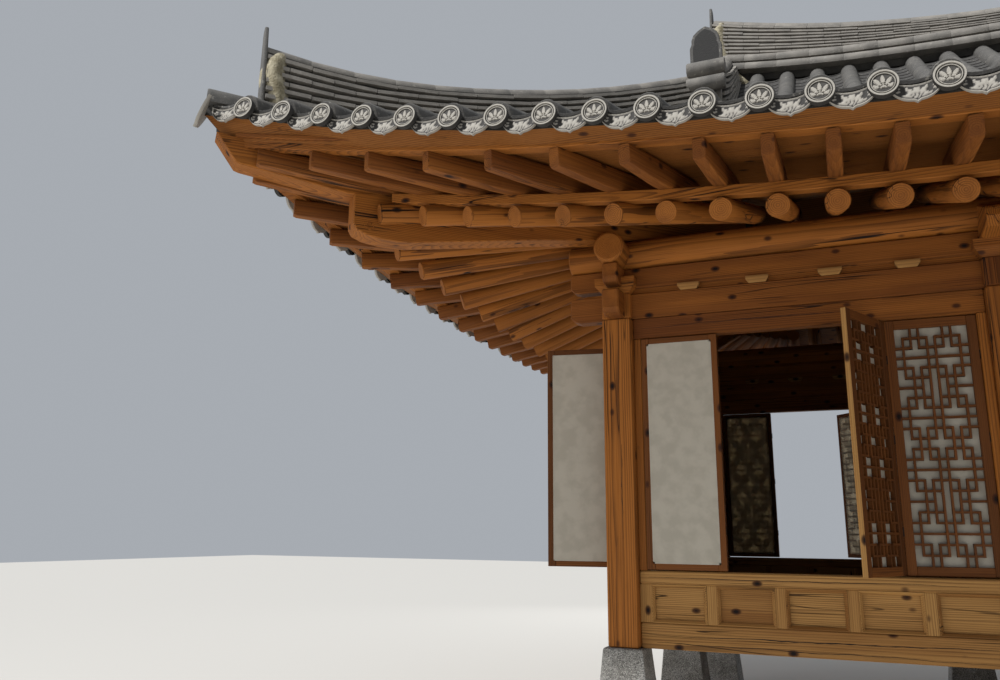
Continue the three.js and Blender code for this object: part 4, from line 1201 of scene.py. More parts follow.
@dataclass
class HeadFrame(SubAssembly):
    """Head beams, post heads, capitals, small bearing blocks, bearers and the cross beams."""

    # Each beam's underside, top and width: the head beam below and the bearer over the blocks.
    beams: tuple[Point3, ...] = ((HEAD_BEAM_Z, 3.287, 0.120), (3.330, 3.4795, 0.110))
    long_nose: float = 0.25
    short_nose: float = 0.16
    block: float = 0.150
    block_height: float = 0.047
    # The capital's heights, each with its width there.
    capital: tuple[Point2, ...] = ((3.2875, 0.190), (3.33, 0.262), (3.345, 0.286), (3.40, 0.290))
    cross_nose: float = 0.30
    cross_width: float = 0.190

    def build(self) -> None:
        """Makes the beams, and scatters the bearing blocks."""
        shape = Shape(41)
        blocks: list[Spot] = []
        for side in (s.value for s in Side):
            self._side_beams(shape, side)
            for number in range(len(side.shut)):
                for k in (1.1, 2.1, 3.1, 4.1):
                    x = -side.half + side.bay * (number + k / 5.2)
                    place = side.frame @ Matrix.Translation((x, POST / 2, 3.285))
                    blocks.append(Spot.of(place, (self.block, self.block, self.block_height)))
        joint = BAY_FRONT / 2
        corners = [(x, y) for x in (-HALF_X, -joint, joint, HALF_X) for y in (-HALF_Y, HALF_Y)]
        for x, y in corners + [(-HALF_X, 0), (HALF_X, 0)]:
            self._post_head(shape, x, y)
        for x in (-joint, joint):
            self._cross_beam(shape, x)
        self.keep(shape.build("head beams capitals and bearers", Finish.PINE), ["head_frame"])
        unit = Shape(42)
        levels = ((0.0, 0.73), (0.62, 1.0), (1.0, 1.0))
        unit.loft([[(x, y, z) for x, y in rectangle(width, width)] for z, width in levels], along=0)
        piece = unit.build("bearing block", Finish.SILL_PINE)
        self.keep(self.scatter.run("bearing blocks", piece, blocks, Finish.SILL_PINE, 43))

    def _side_beams(self, shape: Shape, side: SideFacts) -> None:
        """Adds a side's head beam, its bearer and the board between them."""
        middle, reach = POST / 2, side.half + POST / 2
        tip = reach + (self.long_nose if side.half == HALF_X else self.short_nose)
        for low, high, width in self.beams:
            near, far = middle - width / 2, middle + width / 2
            outline = ended_beam(tip, low, high)
            # Tone 0.85 darkens the head beams and bearers: painted shade under the eaves.
            shape.prism(outline, near, far, 0.010, place=side.frame, heart=0.05, tone=0.85)
        low, high = (-reach, middle - 0.030, 3.280), (reach, middle + 0.030, 3.336)
        shape.block(low, high, 0, place=side.frame, heart=0.05, tone=0.6)

    def _post_head(self, shape: Shape, x: float, y: float) -> None:
        """Adds a post's head and its capital block."""
        reach = POST / 2
        low, high = (x - reach, y - reach, HEAD_BEAM_Z), (x + reach, y + reach, 3.289)
        shape.block(low, high, 0.010, along=2, heart=0.02)
        rings = [[(x + a, y + b, z) for a, b in rectangle(width, width)] for z, width in self.capital]
        shape.loft(rings, along=0, heart=0.06)

    def _cross_beam(self, shape: Shape, x: float) -> None:
        """Adds a beam that spans from front to back, with shaped noses outside."""
        tip, half = FACE_Y + self.cross_nose, self.cross_width / 2
        right = [(FACE_Y, 3.395), (tip - 0.07, 3.405), (tip, 3.44), (tip - 0.015, 3.515), (FACE_Y, 3.63)]
        outline = [(-a, b) for a, b in reversed(right)] + right
        place = Matrix.Translation((x, 0, 0)) @ Matrix.Rotation(pi / 2, 4, "Z")
        shape.prism(outline, -half, half, 0.012, place=place, heart=0.04, tone=0.2)


@dataclass
class Purlins(SubAssembly):
    """Round eave purlins over the post lines."""

    radius: float = 0.110
    tip_radius: float = 0.094
    height: float = 3.5903
    long_end: float = 0.355
    short_end: float = 0.290

    def build(self) -> None:
        """Makes one round timber on each side."""
        shape, full, tip_radius = Shape(51), self.radius, self.tip_radius
        for side in (s.value for s in Side):
            tip = side.half + (self.long_end if side.half == HALF_X else self.short_end)
            steps = ((-tip, tip_radius), (-tip + 0.012, full), (tip - 0.012, full), (tip, tip_radius))
            rings = [[(x, POST / 2 + a, self.height + b) for a, b in ring(radius, 28)] for x, radius in steps]
            shape.loft(rings, place=side.frame, heart=0.015, tone=0.3)
        self.keep(smooth(shape.build("purlins", Finish.PINE)), ["purlins"])


# The eaves' lines


def sweep(u: float) -> float:
    """How much of the corner's rise an eave has at a share u of its half length."""
    return 0.7 * u * u + 0.3 * u**4


def between(start: Vector, end: Vector) -> Matrix:
    """A frame at start whose x axis points to end and whose z axis leans as little as it can."""
    ahead = (end - start).normalized()
    side = Vector((0, 0, 1)).cross(ahead).normalized()
    return Matrix.Translation(start) @ Matrix((ahead, side, ahead.cross(side))).transposed().to_4x4()


@dataclass(frozen=True)
class RafterLine:
    """The line of one rafter: where it starts over the wall, where it ends, and the flying rafter above it.

    Past fan_from, counted back from the corner post, the rafters turn towards the corner, which lies
    corner_out beyond that post. A pair is a size at the side's middle and what the corner adds to it.
    """

    half: float
    end: float
    fan_from: float = 1.030
    fan_width: float = 2.235
    fan_foot: float = 0.780
    corner_out: float = 1.405
    reach: Point2 = (1.1, 0.2)
    fly_reach: Point2 = (1.6, 0.25)
    foot_z: Point2 = (3.7851, 0.14)
    tip_z: Point2 = (3.3, 0.33)
    fly_tip_z: Point2 = (3.4525, 0.5)
    lap: float = 0.05
    radius: float = 0.0722
    fly_rise: float = 0.184

    @property
    def past(self) -> float:
        """How far the rafter's end lies past the fan's beginning."""
        return max(0.0, abs(self.end) - self.half + self.fan_from)

    @property
    def fan(self) -> float:
        """How far the rafter has turned towards the corner, from 0 to 1."""
        return self.past / self.fan_width

    @property
    def share(self) -> float:
        """Where the rafter's end lies along the eave, from 0 at the middle to 1 at the corner."""
        return abs(self.end) / (self.half + self.corner_out)

    @property
    def out(self) -> float:
        """How far out the rafter ends."""
        return self.reach[0] + self.reach[1] * self.share**2

    @property
    def fly_out(self) -> float:
        """How far out the flying rafter ends."""
        return self.fly_reach[0] + self.fly_reach[1] * self.share**2

    def at(self, out: float) -> Vector:
        """The middle of the rafter at a distance out from the posts' faces, in the side's frame."""
        inner = copysign(abs(self.end) - self.past + self.fan * self.fan_foot, self.end)
        start = self.foot_z[0] + self.foot_z[1] * self.fan
        end = self.tip_z[0] + self.tip_z[1] * sweep(self.share)
        part = (out + POST / 2) / (self.out + POST / 2)
        return Vector((inner + (self.end - inner) * part, -out, start + (end - start) * part))

    def fly_top(self, out: float) -> float:
        """The height of the flying rafter's top at a distance out."""
        rest = self.out - self.lap
        start = self.at(rest).z + self.radius + self.fly_rise
        tip = self.fly_tip_z[0] + self.fly_tip_z[1] * sweep(self.share)
        return tip + (start - tip) * (self.fly_out - out) / (self.fly_out - rest)


def line_through(half: float, x: float, out: float) -> RafterLine:
    """The rafter line that passes over a point of the eave, found by repeated correction."""
    end = x
    for _ in range(12):
        line = RafterLine(half, end)
        limit = half + line.corner_out
        end = max(-limit, min(limit, end + x - line.at(out).x))
    return RafterLine(half, end)


@dataclass(frozen=True)
class EaveBoard:
    """A board that follows the eave.

    The out is how far out its outer face lies at the side's middle, and the flare is how much further at the
    corners. The lift is over what it rests on, and it ends near the corner at a share of the eave's length.
    """

    out: float
    flare: float
    width: float
    height: float
    lift: float
    share: float
    tone: float


@dataclass
class EaveTimbers(OnSide):
    """Round rafters, square flying rafters, and the battens and eave boards along their ends, on one side."""

    rafter: float = 0.135
    pitch: float = 0.303
    flying: Point2 = (0.080, 0.125)
    batten: EaveBoard = EaveBoard(1.08, 0.20, 0.090, 0.065, -0.008, 0.975, 0.0)
    board: EaveBoard = EaveBoard(1.615, 0.25, 0.100, 0.050, -0.002, 1.0, 0.5)
    upper_board: EaveBoard = EaveBoard(1.665, 0.24, 0.110, 0.030, 0.044, 1.0, 0.8)

    def build(self) -> None:
        """Makes the side's rafters and boards."""
        side, frame, label = self.side, self.side.frame, self.side.label
        last = side.half + 1.205
        count = round(2 * last / self.pitch)
        lines = [RafterLine(side.half, -last + 2 * last * i / count) for i in range(count + 1)]
        round_spots, flying_spots = [], []
        for line in lines:
            foot, tip = line.at(-0.165 if line.fan > 0 else -0.745), line.at(line.out + 0.008)
            size = ((tip - foot).length, self.rafter, self.rafter)
            round_spots.append(Spot.of(frame @ between(foot, tip), size))
            inner, outer = (self._flying(line, out) for out in (line.out - 0.45, line.fly_out))
            size = ((outer - inner).length, *self.flying)
            flying_spots.append(Spot.of(frame @ between(inner, outer), size))
        seed = 60 + int(side.turn)
        rafters = self.scatter.run(f"{label} rafters", self._log(), round_spots, Finish.PINE, seed)
        self.keep(rafters, [f"eave_rafters_{label}"])
        flying = self._flying_piece()
        self.keep(self.scatter.run(f"{label} flying rafters", flying, flying_spots, Finish.PINE, seed + 1))
        boards = Shape(seed + 200)
        self._strip(boards, self.batten, self._over_rafters)
        self._strip(boards, self.board, self._over_flying)
        self._strip(boards, self.upper_board, lambda x, out: self._over_flying(x, out - 0.06))
        self.keep(boards.build(f"{label} battens and eave boards", Finish.PINE))

    def _flying(self, line: RafterLine, out: float) -> Vector:
        """The middle of a flying rafter at a distance out."""
        return Vector((line.at(out).x, -out, line.fly_top(out) - self.flying[1] / 2))

    def _log(self) -> Thing:
        """A round timber one metre long and one metre through, from x = 0 to 1."""
        shape = Shape(8)
        steps = ((0.0, 0.48), (0.4, 0.5), (0.994, 0.5), (1.0, 0.465))
        shape.loft([[(x, a, b) for a, b in ring(radius, 18)] for x, radius in steps], along=0)
        return shape.build("unit log", Finish.PINE)

    def _flying_piece(self) -> Thing:
        """A squared timber one metre long and one metre each way, its tip a little drawn in."""
        shape = Shape(9)
        steps = ((0.0, 0.5, -0.5), (0.6, 0.5, -0.5), (0.985, 0.44, -0.36), (1.0, 0.40, -0.31))
        rings = []
        for x, half, low in steps:
            corners = [(-half, low), (half, low), (half, 0.5), (-half, 0.5)]
            rings.append([(x, a, b) for a, b in cut_corners(corners, 0.07)])
        shape.loft(rings, along=0)
        return shape.build("unit flying rafter", Finish.PINE)

    def _over_rafters(self, x: float, out: float) -> float:
        """The top of the rafters at a place along and out."""
        line = line_through(self.side.half, x, out)
        return line.at(out).z + line.radius

    def _over_flying(self, x: float, out: float) -> float:
        """The top of the flying rafters at a place along and out."""
        return line_through(self.side.half, x, out).fly_top(out)

    def _strip(self, shape: Shape, board: EaveBoard, under: Callable[[float, float], float]) -> None:
        """Adds a board that follows the eave.

        Args:
            shape: What gets the board.
            board: Its sizes and its tone.
            under: Gives the height of what it rests on, at a place along and out.
        """
        steps = 14
        for part in (-1, 1):
            rings = []
            for step in range(steps + 1):
                u = board.share * step / steps
                out = board.out + board.flare * u * u
                x = part * u * (self.side.half + out - 0.01)
                z, inner = under(x, out - board.width / 2) + board.lift, -out + board.width
                corners = [(-out, z), (inner, z + 0.01), (inner, z + board.height), (-out, z + board.height)]
                rings.append([(x, y, up) for y, up in cut_corners(corners, 0.005)])
            if part < 0:
                rings.reverse()
            shape.loft(rings, place=self.side.frame, along=0, heart=0.06, tone=board.tone)


class Corner(Enum):
    """The roof's corners, each with the direction in degrees that it points in."""

    FRONT_LEFT = -135
    FRONT_RIGHT = -45
    BACK_RIGHT = 45
    BACK_LEFT = 135

    @property
    def label(self) -> str:
        """The corner's name in the CAD nodes."""
        return self.name.lower()


@dataclass
class HipRafters(SubAssembly):
    """The heavy timbers under the roof's corners, one on another, with carved noses.

    Each outline is given as places out from the posts' faces and heights.
    """

    lower: tuple[Point2, ...] = (
        (-0.900, 3.905), (-0.105, 3.7009), (0.400, 3.600), (1.040, 3.450), (1.100, 3.446), (1.170, 3.448),
        (1.245, 3.462), (1.295, 3.490), (1.310, 3.530), (1.310, 3.735), (-0.105, 3.985), (-0.900, 4.190),
    )
    upper: tuple[Point2, ...] = (
        (0.200, 3.925), (1.310, 3.727), (1.345, 3.727), (1.815, 3.806), (1.838, 3.816), (1.930, 3.996),
        (1.500, 3.925), (0.900, 3.900), (0.200, 3.975),
    )
    widths: Point2 = (0.170, 0.160)
    spiral_at: Point2 = (1.235, 3.520)
    spiral_radius: float = 0.036
    spiral_band: float = 0.007

    def build(self) -> None:
        """Makes both timbers and the carved spirals at each corner."""
        for number, corner in enumerate(Corner):
            shape, place = Shape(80 + number), self._place(corner)
            for outline, width in zip((self.lower, self.upper), self.widths):
                points = [(self._along_hip(out), z) for out, z in outline]
                shape.prism(points, -width / 2, width / 2, 0.008, place=place, heart=0.03, tone=0.3)
            for y in (-0.0855, 0.0855):
                self._spiral(shape, place, y)
            name = f"hip_rafter_{corner.label}"
            self.keep(shape.build(f"hip rafter {corner.label}", Finish.PINE), [name])

    @staticmethod
    def _along_hip(out: float) -> float:
        """The distance along the hip, from the corner post's middle, of a place out from the posts' faces."""
        return (out + POST / 2) * sqrt(2)

    @staticmethod
    def _place(corner: Corner) -> Matrix:
        """The frame of a corner: x outward along the hip from the corner post's middle."""
        angle = radians(corner.value)
        x, y = copysign(HALF_X, cos(angle)), copysign(HALF_Y, sin(angle))
        return Matrix.Translation((x, y, 0)) @ Matrix.Rotation(angle, 4, "Z")

    def _spiral(self, shape: Shape, place: Matrix, y: float) -> None:
        """Adds a carved spiral, a thin raised band that winds inward, on the nose's side."""
        centre = Vector((self._along_hip(self.spiral_at[0]), y, self.spiral_at[1]))
        points = [(i * 0.37, self.spiral_radius * (1 - i / 40)) for i in range(34)]
        for (a, r), (b, s) in zip(points, points[1:]):
            quad = [(r, a), (s, b), (s - self.spiral_band, b), (r - self.spiral_band, a)]
            rings = []
            for depth in (0.0022, -0.0022):
                rings.append([centre + Vector((q * cos(t), depth, q * sin(t))) for q, t in quad])
            shape.loft(rings, place=place, heart=0.03)


# Roof


EAVE_INSET = 0.230
HIP_END = 2.6
ROOF_OUT = 1.980


def bed(roof: float, x: float, inset: float) -> float:
    """The height of the tiles' bed, a curve that climbs inward and rises again towards the corners.

    Args:
        roof: Half the length of the side's eave.
        x: The place along the side.
        inset: How far in from the roof's outermost edge.

    Returns:
        The height above the floor at z = 0.
    """
    run = inset - EAVE_INSET
    rise = 0.084 + 0.0628 * (run - 2.37) ** 2 if run > 2.37 else 0.08 + 0.52 * (1 - run / HIP_END) ** 2
    share = min(1.0, abs(x) / (roof - min(inset, HIP_END)))
    return 3.570 + 0.364 * run + 0.053 * run * run + rise * sweep(share)


@dataclass
class Slope(OnSide):
    """One side of the roof: its boards and clay bed, its tiles, and the end tiles along its eave."""

    pitch: float = 0.27
    cover_step: float = 0.30
    cover_length: float = 0.33
    pan_step: float = 0.118
    pan_length: float = 0.22
    pan_half: float = 0.128
    disc_petals: float = 0.046
    drip_half: float = 0.122
    drip_depth: float = 0.082

    @property
    def long(self) -> bool:
        """Whether this is the front or the back slope."""
        return self.side.half == HALF_X

    def build(self) -> None:
        """Makes the bed from its CAD node, then the tiles on it."""
        label, seed, frame = self.side.label, int(self.side.turn) + 900, self.side.frame
        self.keep(self._bed(), [f"roof_{label}"])
        columns, valleys = self._lines()
        covers, discs, pans, drips = [], [], [], []
        for x in columns:
            run = self._run(x, self.cover_step, 0.034, 0.0)
            covers += [Spot.of(frame @ place, (length / self.cover_length, 1, 1)) for place, length in run]
            discs.append(Spot.of(frame @ self._upright(run[0][0], 0.052, 0.026)))
        for x in valleys:
            run = self._run(x, self.pan_step, 0.016, 0.010)
            pans += [Spot.of(frame @ place, (length / self.pan_length, 1, 1)) for place, length in run]
            drips.append(Spot.of(frame @ self._upright(run[0][0], 0.016, 0.034)))
        for part in (-1, 1) if self.long else ():
            tip, top = (self._over_corner(part, inset) for inset in (0.0, self.cover_length))
            size = ((top - tip).length / self.cover_length, 1.05, 1.05)
            covers.append(Spot.of(frame @ between(tip, top), size))
            hung = between(tip, Vector((top.x, top.y, tip.z))) @ Matrix.Translation((-0.005, 0, -0.075))
            drips.append(Spot.of(frame @ hung @ Matrix.Rotation(radians(20), 4, "Y"), (1, 1.1, 1.35)))
        for number, (what, piece, spots, finish) in enumerate((
            ("cover tiles", self._cover, covers, Finish.TILE),
            # The pan tiles get the darker tile: painted shade between the covers.
            ("pan tiles", self._pan, pans, Finish.LOW_TILE),
            ("eave discs", self._disc, discs, Finish.TILE),
            ("drip tiles", self._drip, drips, Finish.TILE),
        )):
            self.keep(self.scatter.run(f"{label} {what}", piece(), spots, finish, seed + number))

    def _lines(self) -> tuple[list[float], list[float]]:
        """The places along the side of the columns of cover tiles, and of the valleys between them."""
        last = int(self.side.roof / self.pitch - 0.9)
        columns = [self.pitch * k for k in range(-last, last + 1)]
        if not self.long:
            columns = [x + self.pitch / 2 for x in columns[:-1]]
        valleys = [x + self.pitch / 2 for x in columns[:-1]]
        outer = valleys[-1] + self.pitch
        valleys = [-outer, *valleys, outer]
        if not self.long:
            columns = [-outer - self.pitch / 2, *columns, outer + self.pitch / 2]
        return columns, valleys

    def _over_corner(self, part: int, inset: float) -> Vector:
        """A point of the tile that closes the corner on one end of the side."""
        roof = self.side.roof
        return Vector((part * (roof - inset), inset - ROOF_OUT, bed(roof, roof - inset, inset) + 0.040))

    @staticmethod
    def _upright(first: Matrix, ahead: float, drop: float) -> Matrix:
        """Where an end tile stands, upright, a little ahead of its column's first tile and under its axis."""
        inward = Vector((first.col[0].x, first.col[0].y, 0)).normalized()
        start = first.translation - inward * ahead - Vector((0, 0, drop))
        return between(start, start + inward - Vector((0, 0, 0.10)))

    def _bed(self) -> Thing:
        """The roof's solid without its plain ribs, with boards below and clay above."""
        node = bpy.data.objects[f"roof_{self.side.label}"]
        mesh = node.data.copy()
        mesh.name = f"{self.side.label}_roof_boards_and_clay"
        back = self.side.frame.inverted()
        for vertex in mesh.vertices:
            own = back @ vertex.co
            level = bed(self.side.roof, own.x, own.y + ROOF_OUT)
            if vertex.co.z > level + 0.02:
                vertex.co.z = level
        places = np.array([tuple(v.co) for v in mesh.vertices])
        keep_at_points(mesh, "grain", places if self.long else places[:, [1, 0, 2]])
        mesh.materials.clear()
        mesh.materials.append(Finish.ROOF_BOARD.material)
        mesh.materials.append(Finish.BEDDING.material)
        for face in mesh.polygons:
            face.material_index = 1 if face.normal.z > -0.5 else 0
        return in_scene(mesh.name, mesh)

    def _run(self, x: float, step: float, lift: float, tilt: float) -> list[tuple[Matrix, float]]:
        """The tiles of one column, from the eave up.

        Args:
            x: The column's place along the side.
            step: How far apart the tiles' fronts are, along the ground.
            lift: How high over the bed they lie.
            tilt: How much more their fronts are raised.

        Returns:
            Each tile's frame, its x axis up the slope, and its length.
        """
        roof, share = self.side.roof, 0.0
        for _ in range(8):
            share = min(1.0, abs(x) / (roof - EAVE_INSET * (1 - share * share)))
        inset, last = EAVE_INSET * (1 - share * share), roof - abs(x) - 0.10
        if abs(x) < roof - HIP_END:
            last = ROOF_Y - 0.10 if self.long else 2.80
        lap = 1.1 if step == self.cover_step else 1.75
        tiles = []
        while inset < last - 0.04 or not tiles:
            upper = min(inset + step, last)
            ends = [Vector((x, place - ROOF_OUT, bed(roof, x, place) + lift)) for place in (inset, upper)]
            length = (ends[1] - ends[0]).length
            ends[0].z += tilt
            whole = (upper - inset) / step > 0.99
            tiles.append((between(*ends), length * (lap if whole else 1.0)))
            inset = upper
        return tiles

    def _cover(self) -> Thing:
        """A half-round cover tile with a narrower tail under the next tile."""
        shape, rings, length = Shape(11), [], self.cover_length
        tail = ((length - 0.02, 0.069), (length, 0.066))
        for x, radius in ((0.0, 0.068), (0.006, 0.0715), (0.02, 0.072), *tail):
            arc = [(-radius * cos(a), radius * sin(a)) for a in np.linspace(0, pi, 9)]
            rings.append([(x, y, z) for y, z in arc[::-1]] + [(x, -radius, -0.034), (x, radius, -0.034)])
        shape.loft(rings, along=0)
        return shape.build("cover tile", Finish.TILE)

    def _pan(self) -> Thing:
        """A hollow pan tile with its front edge showing."""
        shape, points, half = Shape(12), [], self.pan_half
        across = np.linspace(-half, half, 7)
        for x, drop in ((0.0, 0.016), (0.0, 0.0), (0.004, -0.002), (self.pan_length, -0.004)):
            points += [(x, y, 0.036 * (y / half) ** 2 - drop) for y in across]
        size = len(across)
        starts = [row * size + k for row in range(3) for k in range(size - 1)]
        shape.add(points, [[a + 1, a + size + 1, a + size, a] for a in starts], along=0)
        return shape.build("pan tile", Finish.TILE)

    def _disc(self) -> Thing:
        """The round end of a cover tile, with a rim, a groove and a lotus of five petals."""
        shape, turns = Shape(13), 60
        rows = [(0.068, 0.032), (0.068, 0.002), (0.066, 0.0), (0.059, 0.0), (0.057, 0.008), (0.053, 0.008),
                (0.052, 0.003), (0.049, 0.003), (0.048, 0.008)]
        rows += [(0.043 - 0.005 * k, 0.008) for k in range(8)]
        points, relief = [], []
        for radius, depth in rows:
            # Relief 1 on the rims gets the tile's painted highlight; below 0, in the groove and round the
            # petals, its painted shade and dirt.
            rim = 0.058 < radius < 0.067 or 0.0485 < radius < 0.0525
            for y, z in ring(radius, turns):
                proud = 1.0 if rim else -1.0
                if radius < self.disc_petals:
                    proud = self._petal(1.1 * y, 1.1 * z)
                    points.append((depth - 0.005 * max(0.0, proud), y, z))
                else:
                    points.append((depth, y, z))
                relief.append(proud)
        points.append((0.001, 0, 0))
        relief.append(0.9)
        faces = []
        for start in range(0, (len(rows) - 1) * turns, turns):
            for k in range(turns):
                a, b = start + k, start + (k + 1) % turns
                faces.append([a, a + turns, b + turns, b])
        centre, inner = len(points) - 1, (len(rows) - 1) * turns
        faces += [[inner + k, centre, inner + (k + 1) % turns] for k in range(turns)]
        shape.add(points, faces, along=0, relief=relief)
        return shape.build("eave disc", Finish.TILE)

    @staticmethod
    def _petal(y: float, z: float) -> float:
        """How proud the lotus stands at a point of the disc: five petals fanned out over a small base arc."""
        up = z + 0.030
        distance, angle = hypot(y, up), atan2(up, y)
        if distance < 0.016 and up > 0:
            return 1.0
        for k in range(5):
            middle = radians(18 + 36 * k)
            length = 0.054 + 0.022 * sin(middle)
            off = (angle - middle + pi) % (2 * pi) - pi
            part = (distance - 0.019) / (length - 0.019)
            width = 0.0105 * sin(pi * min(1.0, part * 0.85 + 0.12))
            if 0 < part < 1 and abs(off) * distance < width:
                return 0.9
        return -0.8

    def _drip(self) -> Thing:
        """The hanging end of a pan tile: a crescent plate with a raised border, scrolls and a small point."""
        shape, columns, rows, half = Shape(14), 30, 9, self.drip_half
        points, relief, faces = [], [], []
        for layer in (0.0, 0.014):
            for i in range(columns + 1):
                u = -1 + 2 * i / columns
                top, bulge = 0.040 * u * u, abs(u) ** 2.6
                low = -self.drip_depth * sqrt(max(0.0, 1 - bulge)) + 0.040 * bulge
                low -= 0.012 * max(0.0, 1 - abs(u) / 0.12)
                for j in range(rows + 1):
                    v = j / rows
                    z = top + (low - top) * v
                    edge = min(v, 1 - v, 1.1 * (1 - abs(u)))
                    curl = 0.007 < hypot(half * abs(u) - 0.080, z + 0.018) < 0.014
                    spray = self._petal(half * u, z + 0.042) > 0 or curl
                    # The border and the raised spray get the tile's painted highlight; the ground, at -0.9,
                    # its painted shade and dirt.
                    proud = 1.0 if edge < 0.09 else (0.9 if 0.16 < edge and spray else -0.9)
                    raised = 0.005 * max(0.0, proud) if layer == 0 else 0
                    points.append((layer - 0.12 * (top - z) - raised, half * u, z))
                    relief.append(proud if layer == 0 else 0.0)
        stride, side = rows + 1, (columns + 1) * (rows + 1)
        for i in range(columns):
            for j in range(rows):
                a = i * stride + j
                faces.append([a, a + 1, a + stride + 1, a + stride])
                faces.append([side + a, side + a + stride, side + a + stride + 1, side + a + 1])
            for j, flip in ((0, False), (rows, True)):
                a = i * stride + j
                quad = [a, a + stride, side + a + stride, side + a]
                faces.append(quad[::-1] if flip else quad)
        shape.add(points, faces, along=0, relief=relief)
        return shape.build("drip tile", Finish.TILE)


@dataclass(frozen=True)
class RidgeLine:
    """A ridge's run: places where it meets the tiles, the heights of its top, and how many courses it has."""

    name: str
    node: str
    feet: tuple[Vector, ...]
    tops: tuple[float, ...]
    courses: int
    both_ends: bool = False

    def at(self, distance: float) -> tuple[Vector, float]:
        """The foot and the top's height at a distance along the ridge."""
        steps = [(b - a).length for a, b in zip(self.feet, self.feet[1:])]
        i = 0
        while distance > steps[i] and i < len(steps) - 1:
            distance -= steps[i]
            i += 1
        part = distance / steps[i]
        top = self.tops[i] + (self.tops[i + 1] - self.tops[i]) * part
        return self.feet[i].lerp(self.feet[i + 1], part), top

    @property
    def length(self) -> float:
        """How long the ridge is."""
        return sum((b - a).length for a, b in zip(self.feet, self.feet[1:]))


def main_ridge_line() -> RidgeLine:
    """The ridge on top of the house, whose ends rise."""
    xs = np.linspace(-3.100, 3.100, 17)
    feet = tuple(Vector((x, 0, bed(ROOF_X, x, ROOF_Y))) for x in xs)
    tops = tuple(6.2 + 0.5 * (x / 3.11) ** 2 for x in xs)
    return RidgeLine("main ridge", "main_ridge", feet, tops, 13, True)


def corner_ridge_lines(corner: Corner) -> tuple[RidgeLine, RidgeLine]:
    """The falling ridge beside a gable and the hip ridge that goes on from it to the corner.

    Args:
        corner: The corner they lead to.

    Returns:
        The falling ridge and the hip ridge, each from its upper end down.
    """
    right = 1 if abs(corner.value) < 90 else -1
    back = 1 if corner.value > 0 else -1
    node, x = f"corner_ridge_{corner.label}", 2.985
    falls = [0.135 + (1.465 - 0.135) * i / 6 for i in range(7)]
    feet = tuple(Vector((right * x, back * y, bed(ROOF_X, x, ROOF_Y - y))) for y in falls)
    tops = tuple(foot.z + 0.30 + 0.23 * i / 6 for i, foot in enumerate(feet))
    falling = RidgeLine(f"falling ridge {corner.label}", node, feet, tops, 7)
    insets = [2.62 - (2.62 - 0.24) * i / 9 for i in range(10)]
    heights = [bed(ROOF_X, ROOF_X - i, i) - 0.01 for i in insets]
    feet = tuple(Vector((right * (ROOF_X - i), back * (ROOF_Y - i), z)) for i, z in zip(insets, heights))
    tops = tuple(f.z + 0.445 + 0.07 * max(0.0, 1 - (i - 0.24) / 0.7) ** 2 for f, i in zip(feet, insets))
    return falling, RidgeLine(f"hip ridge {corner.label}", node, feet, tops, 7)


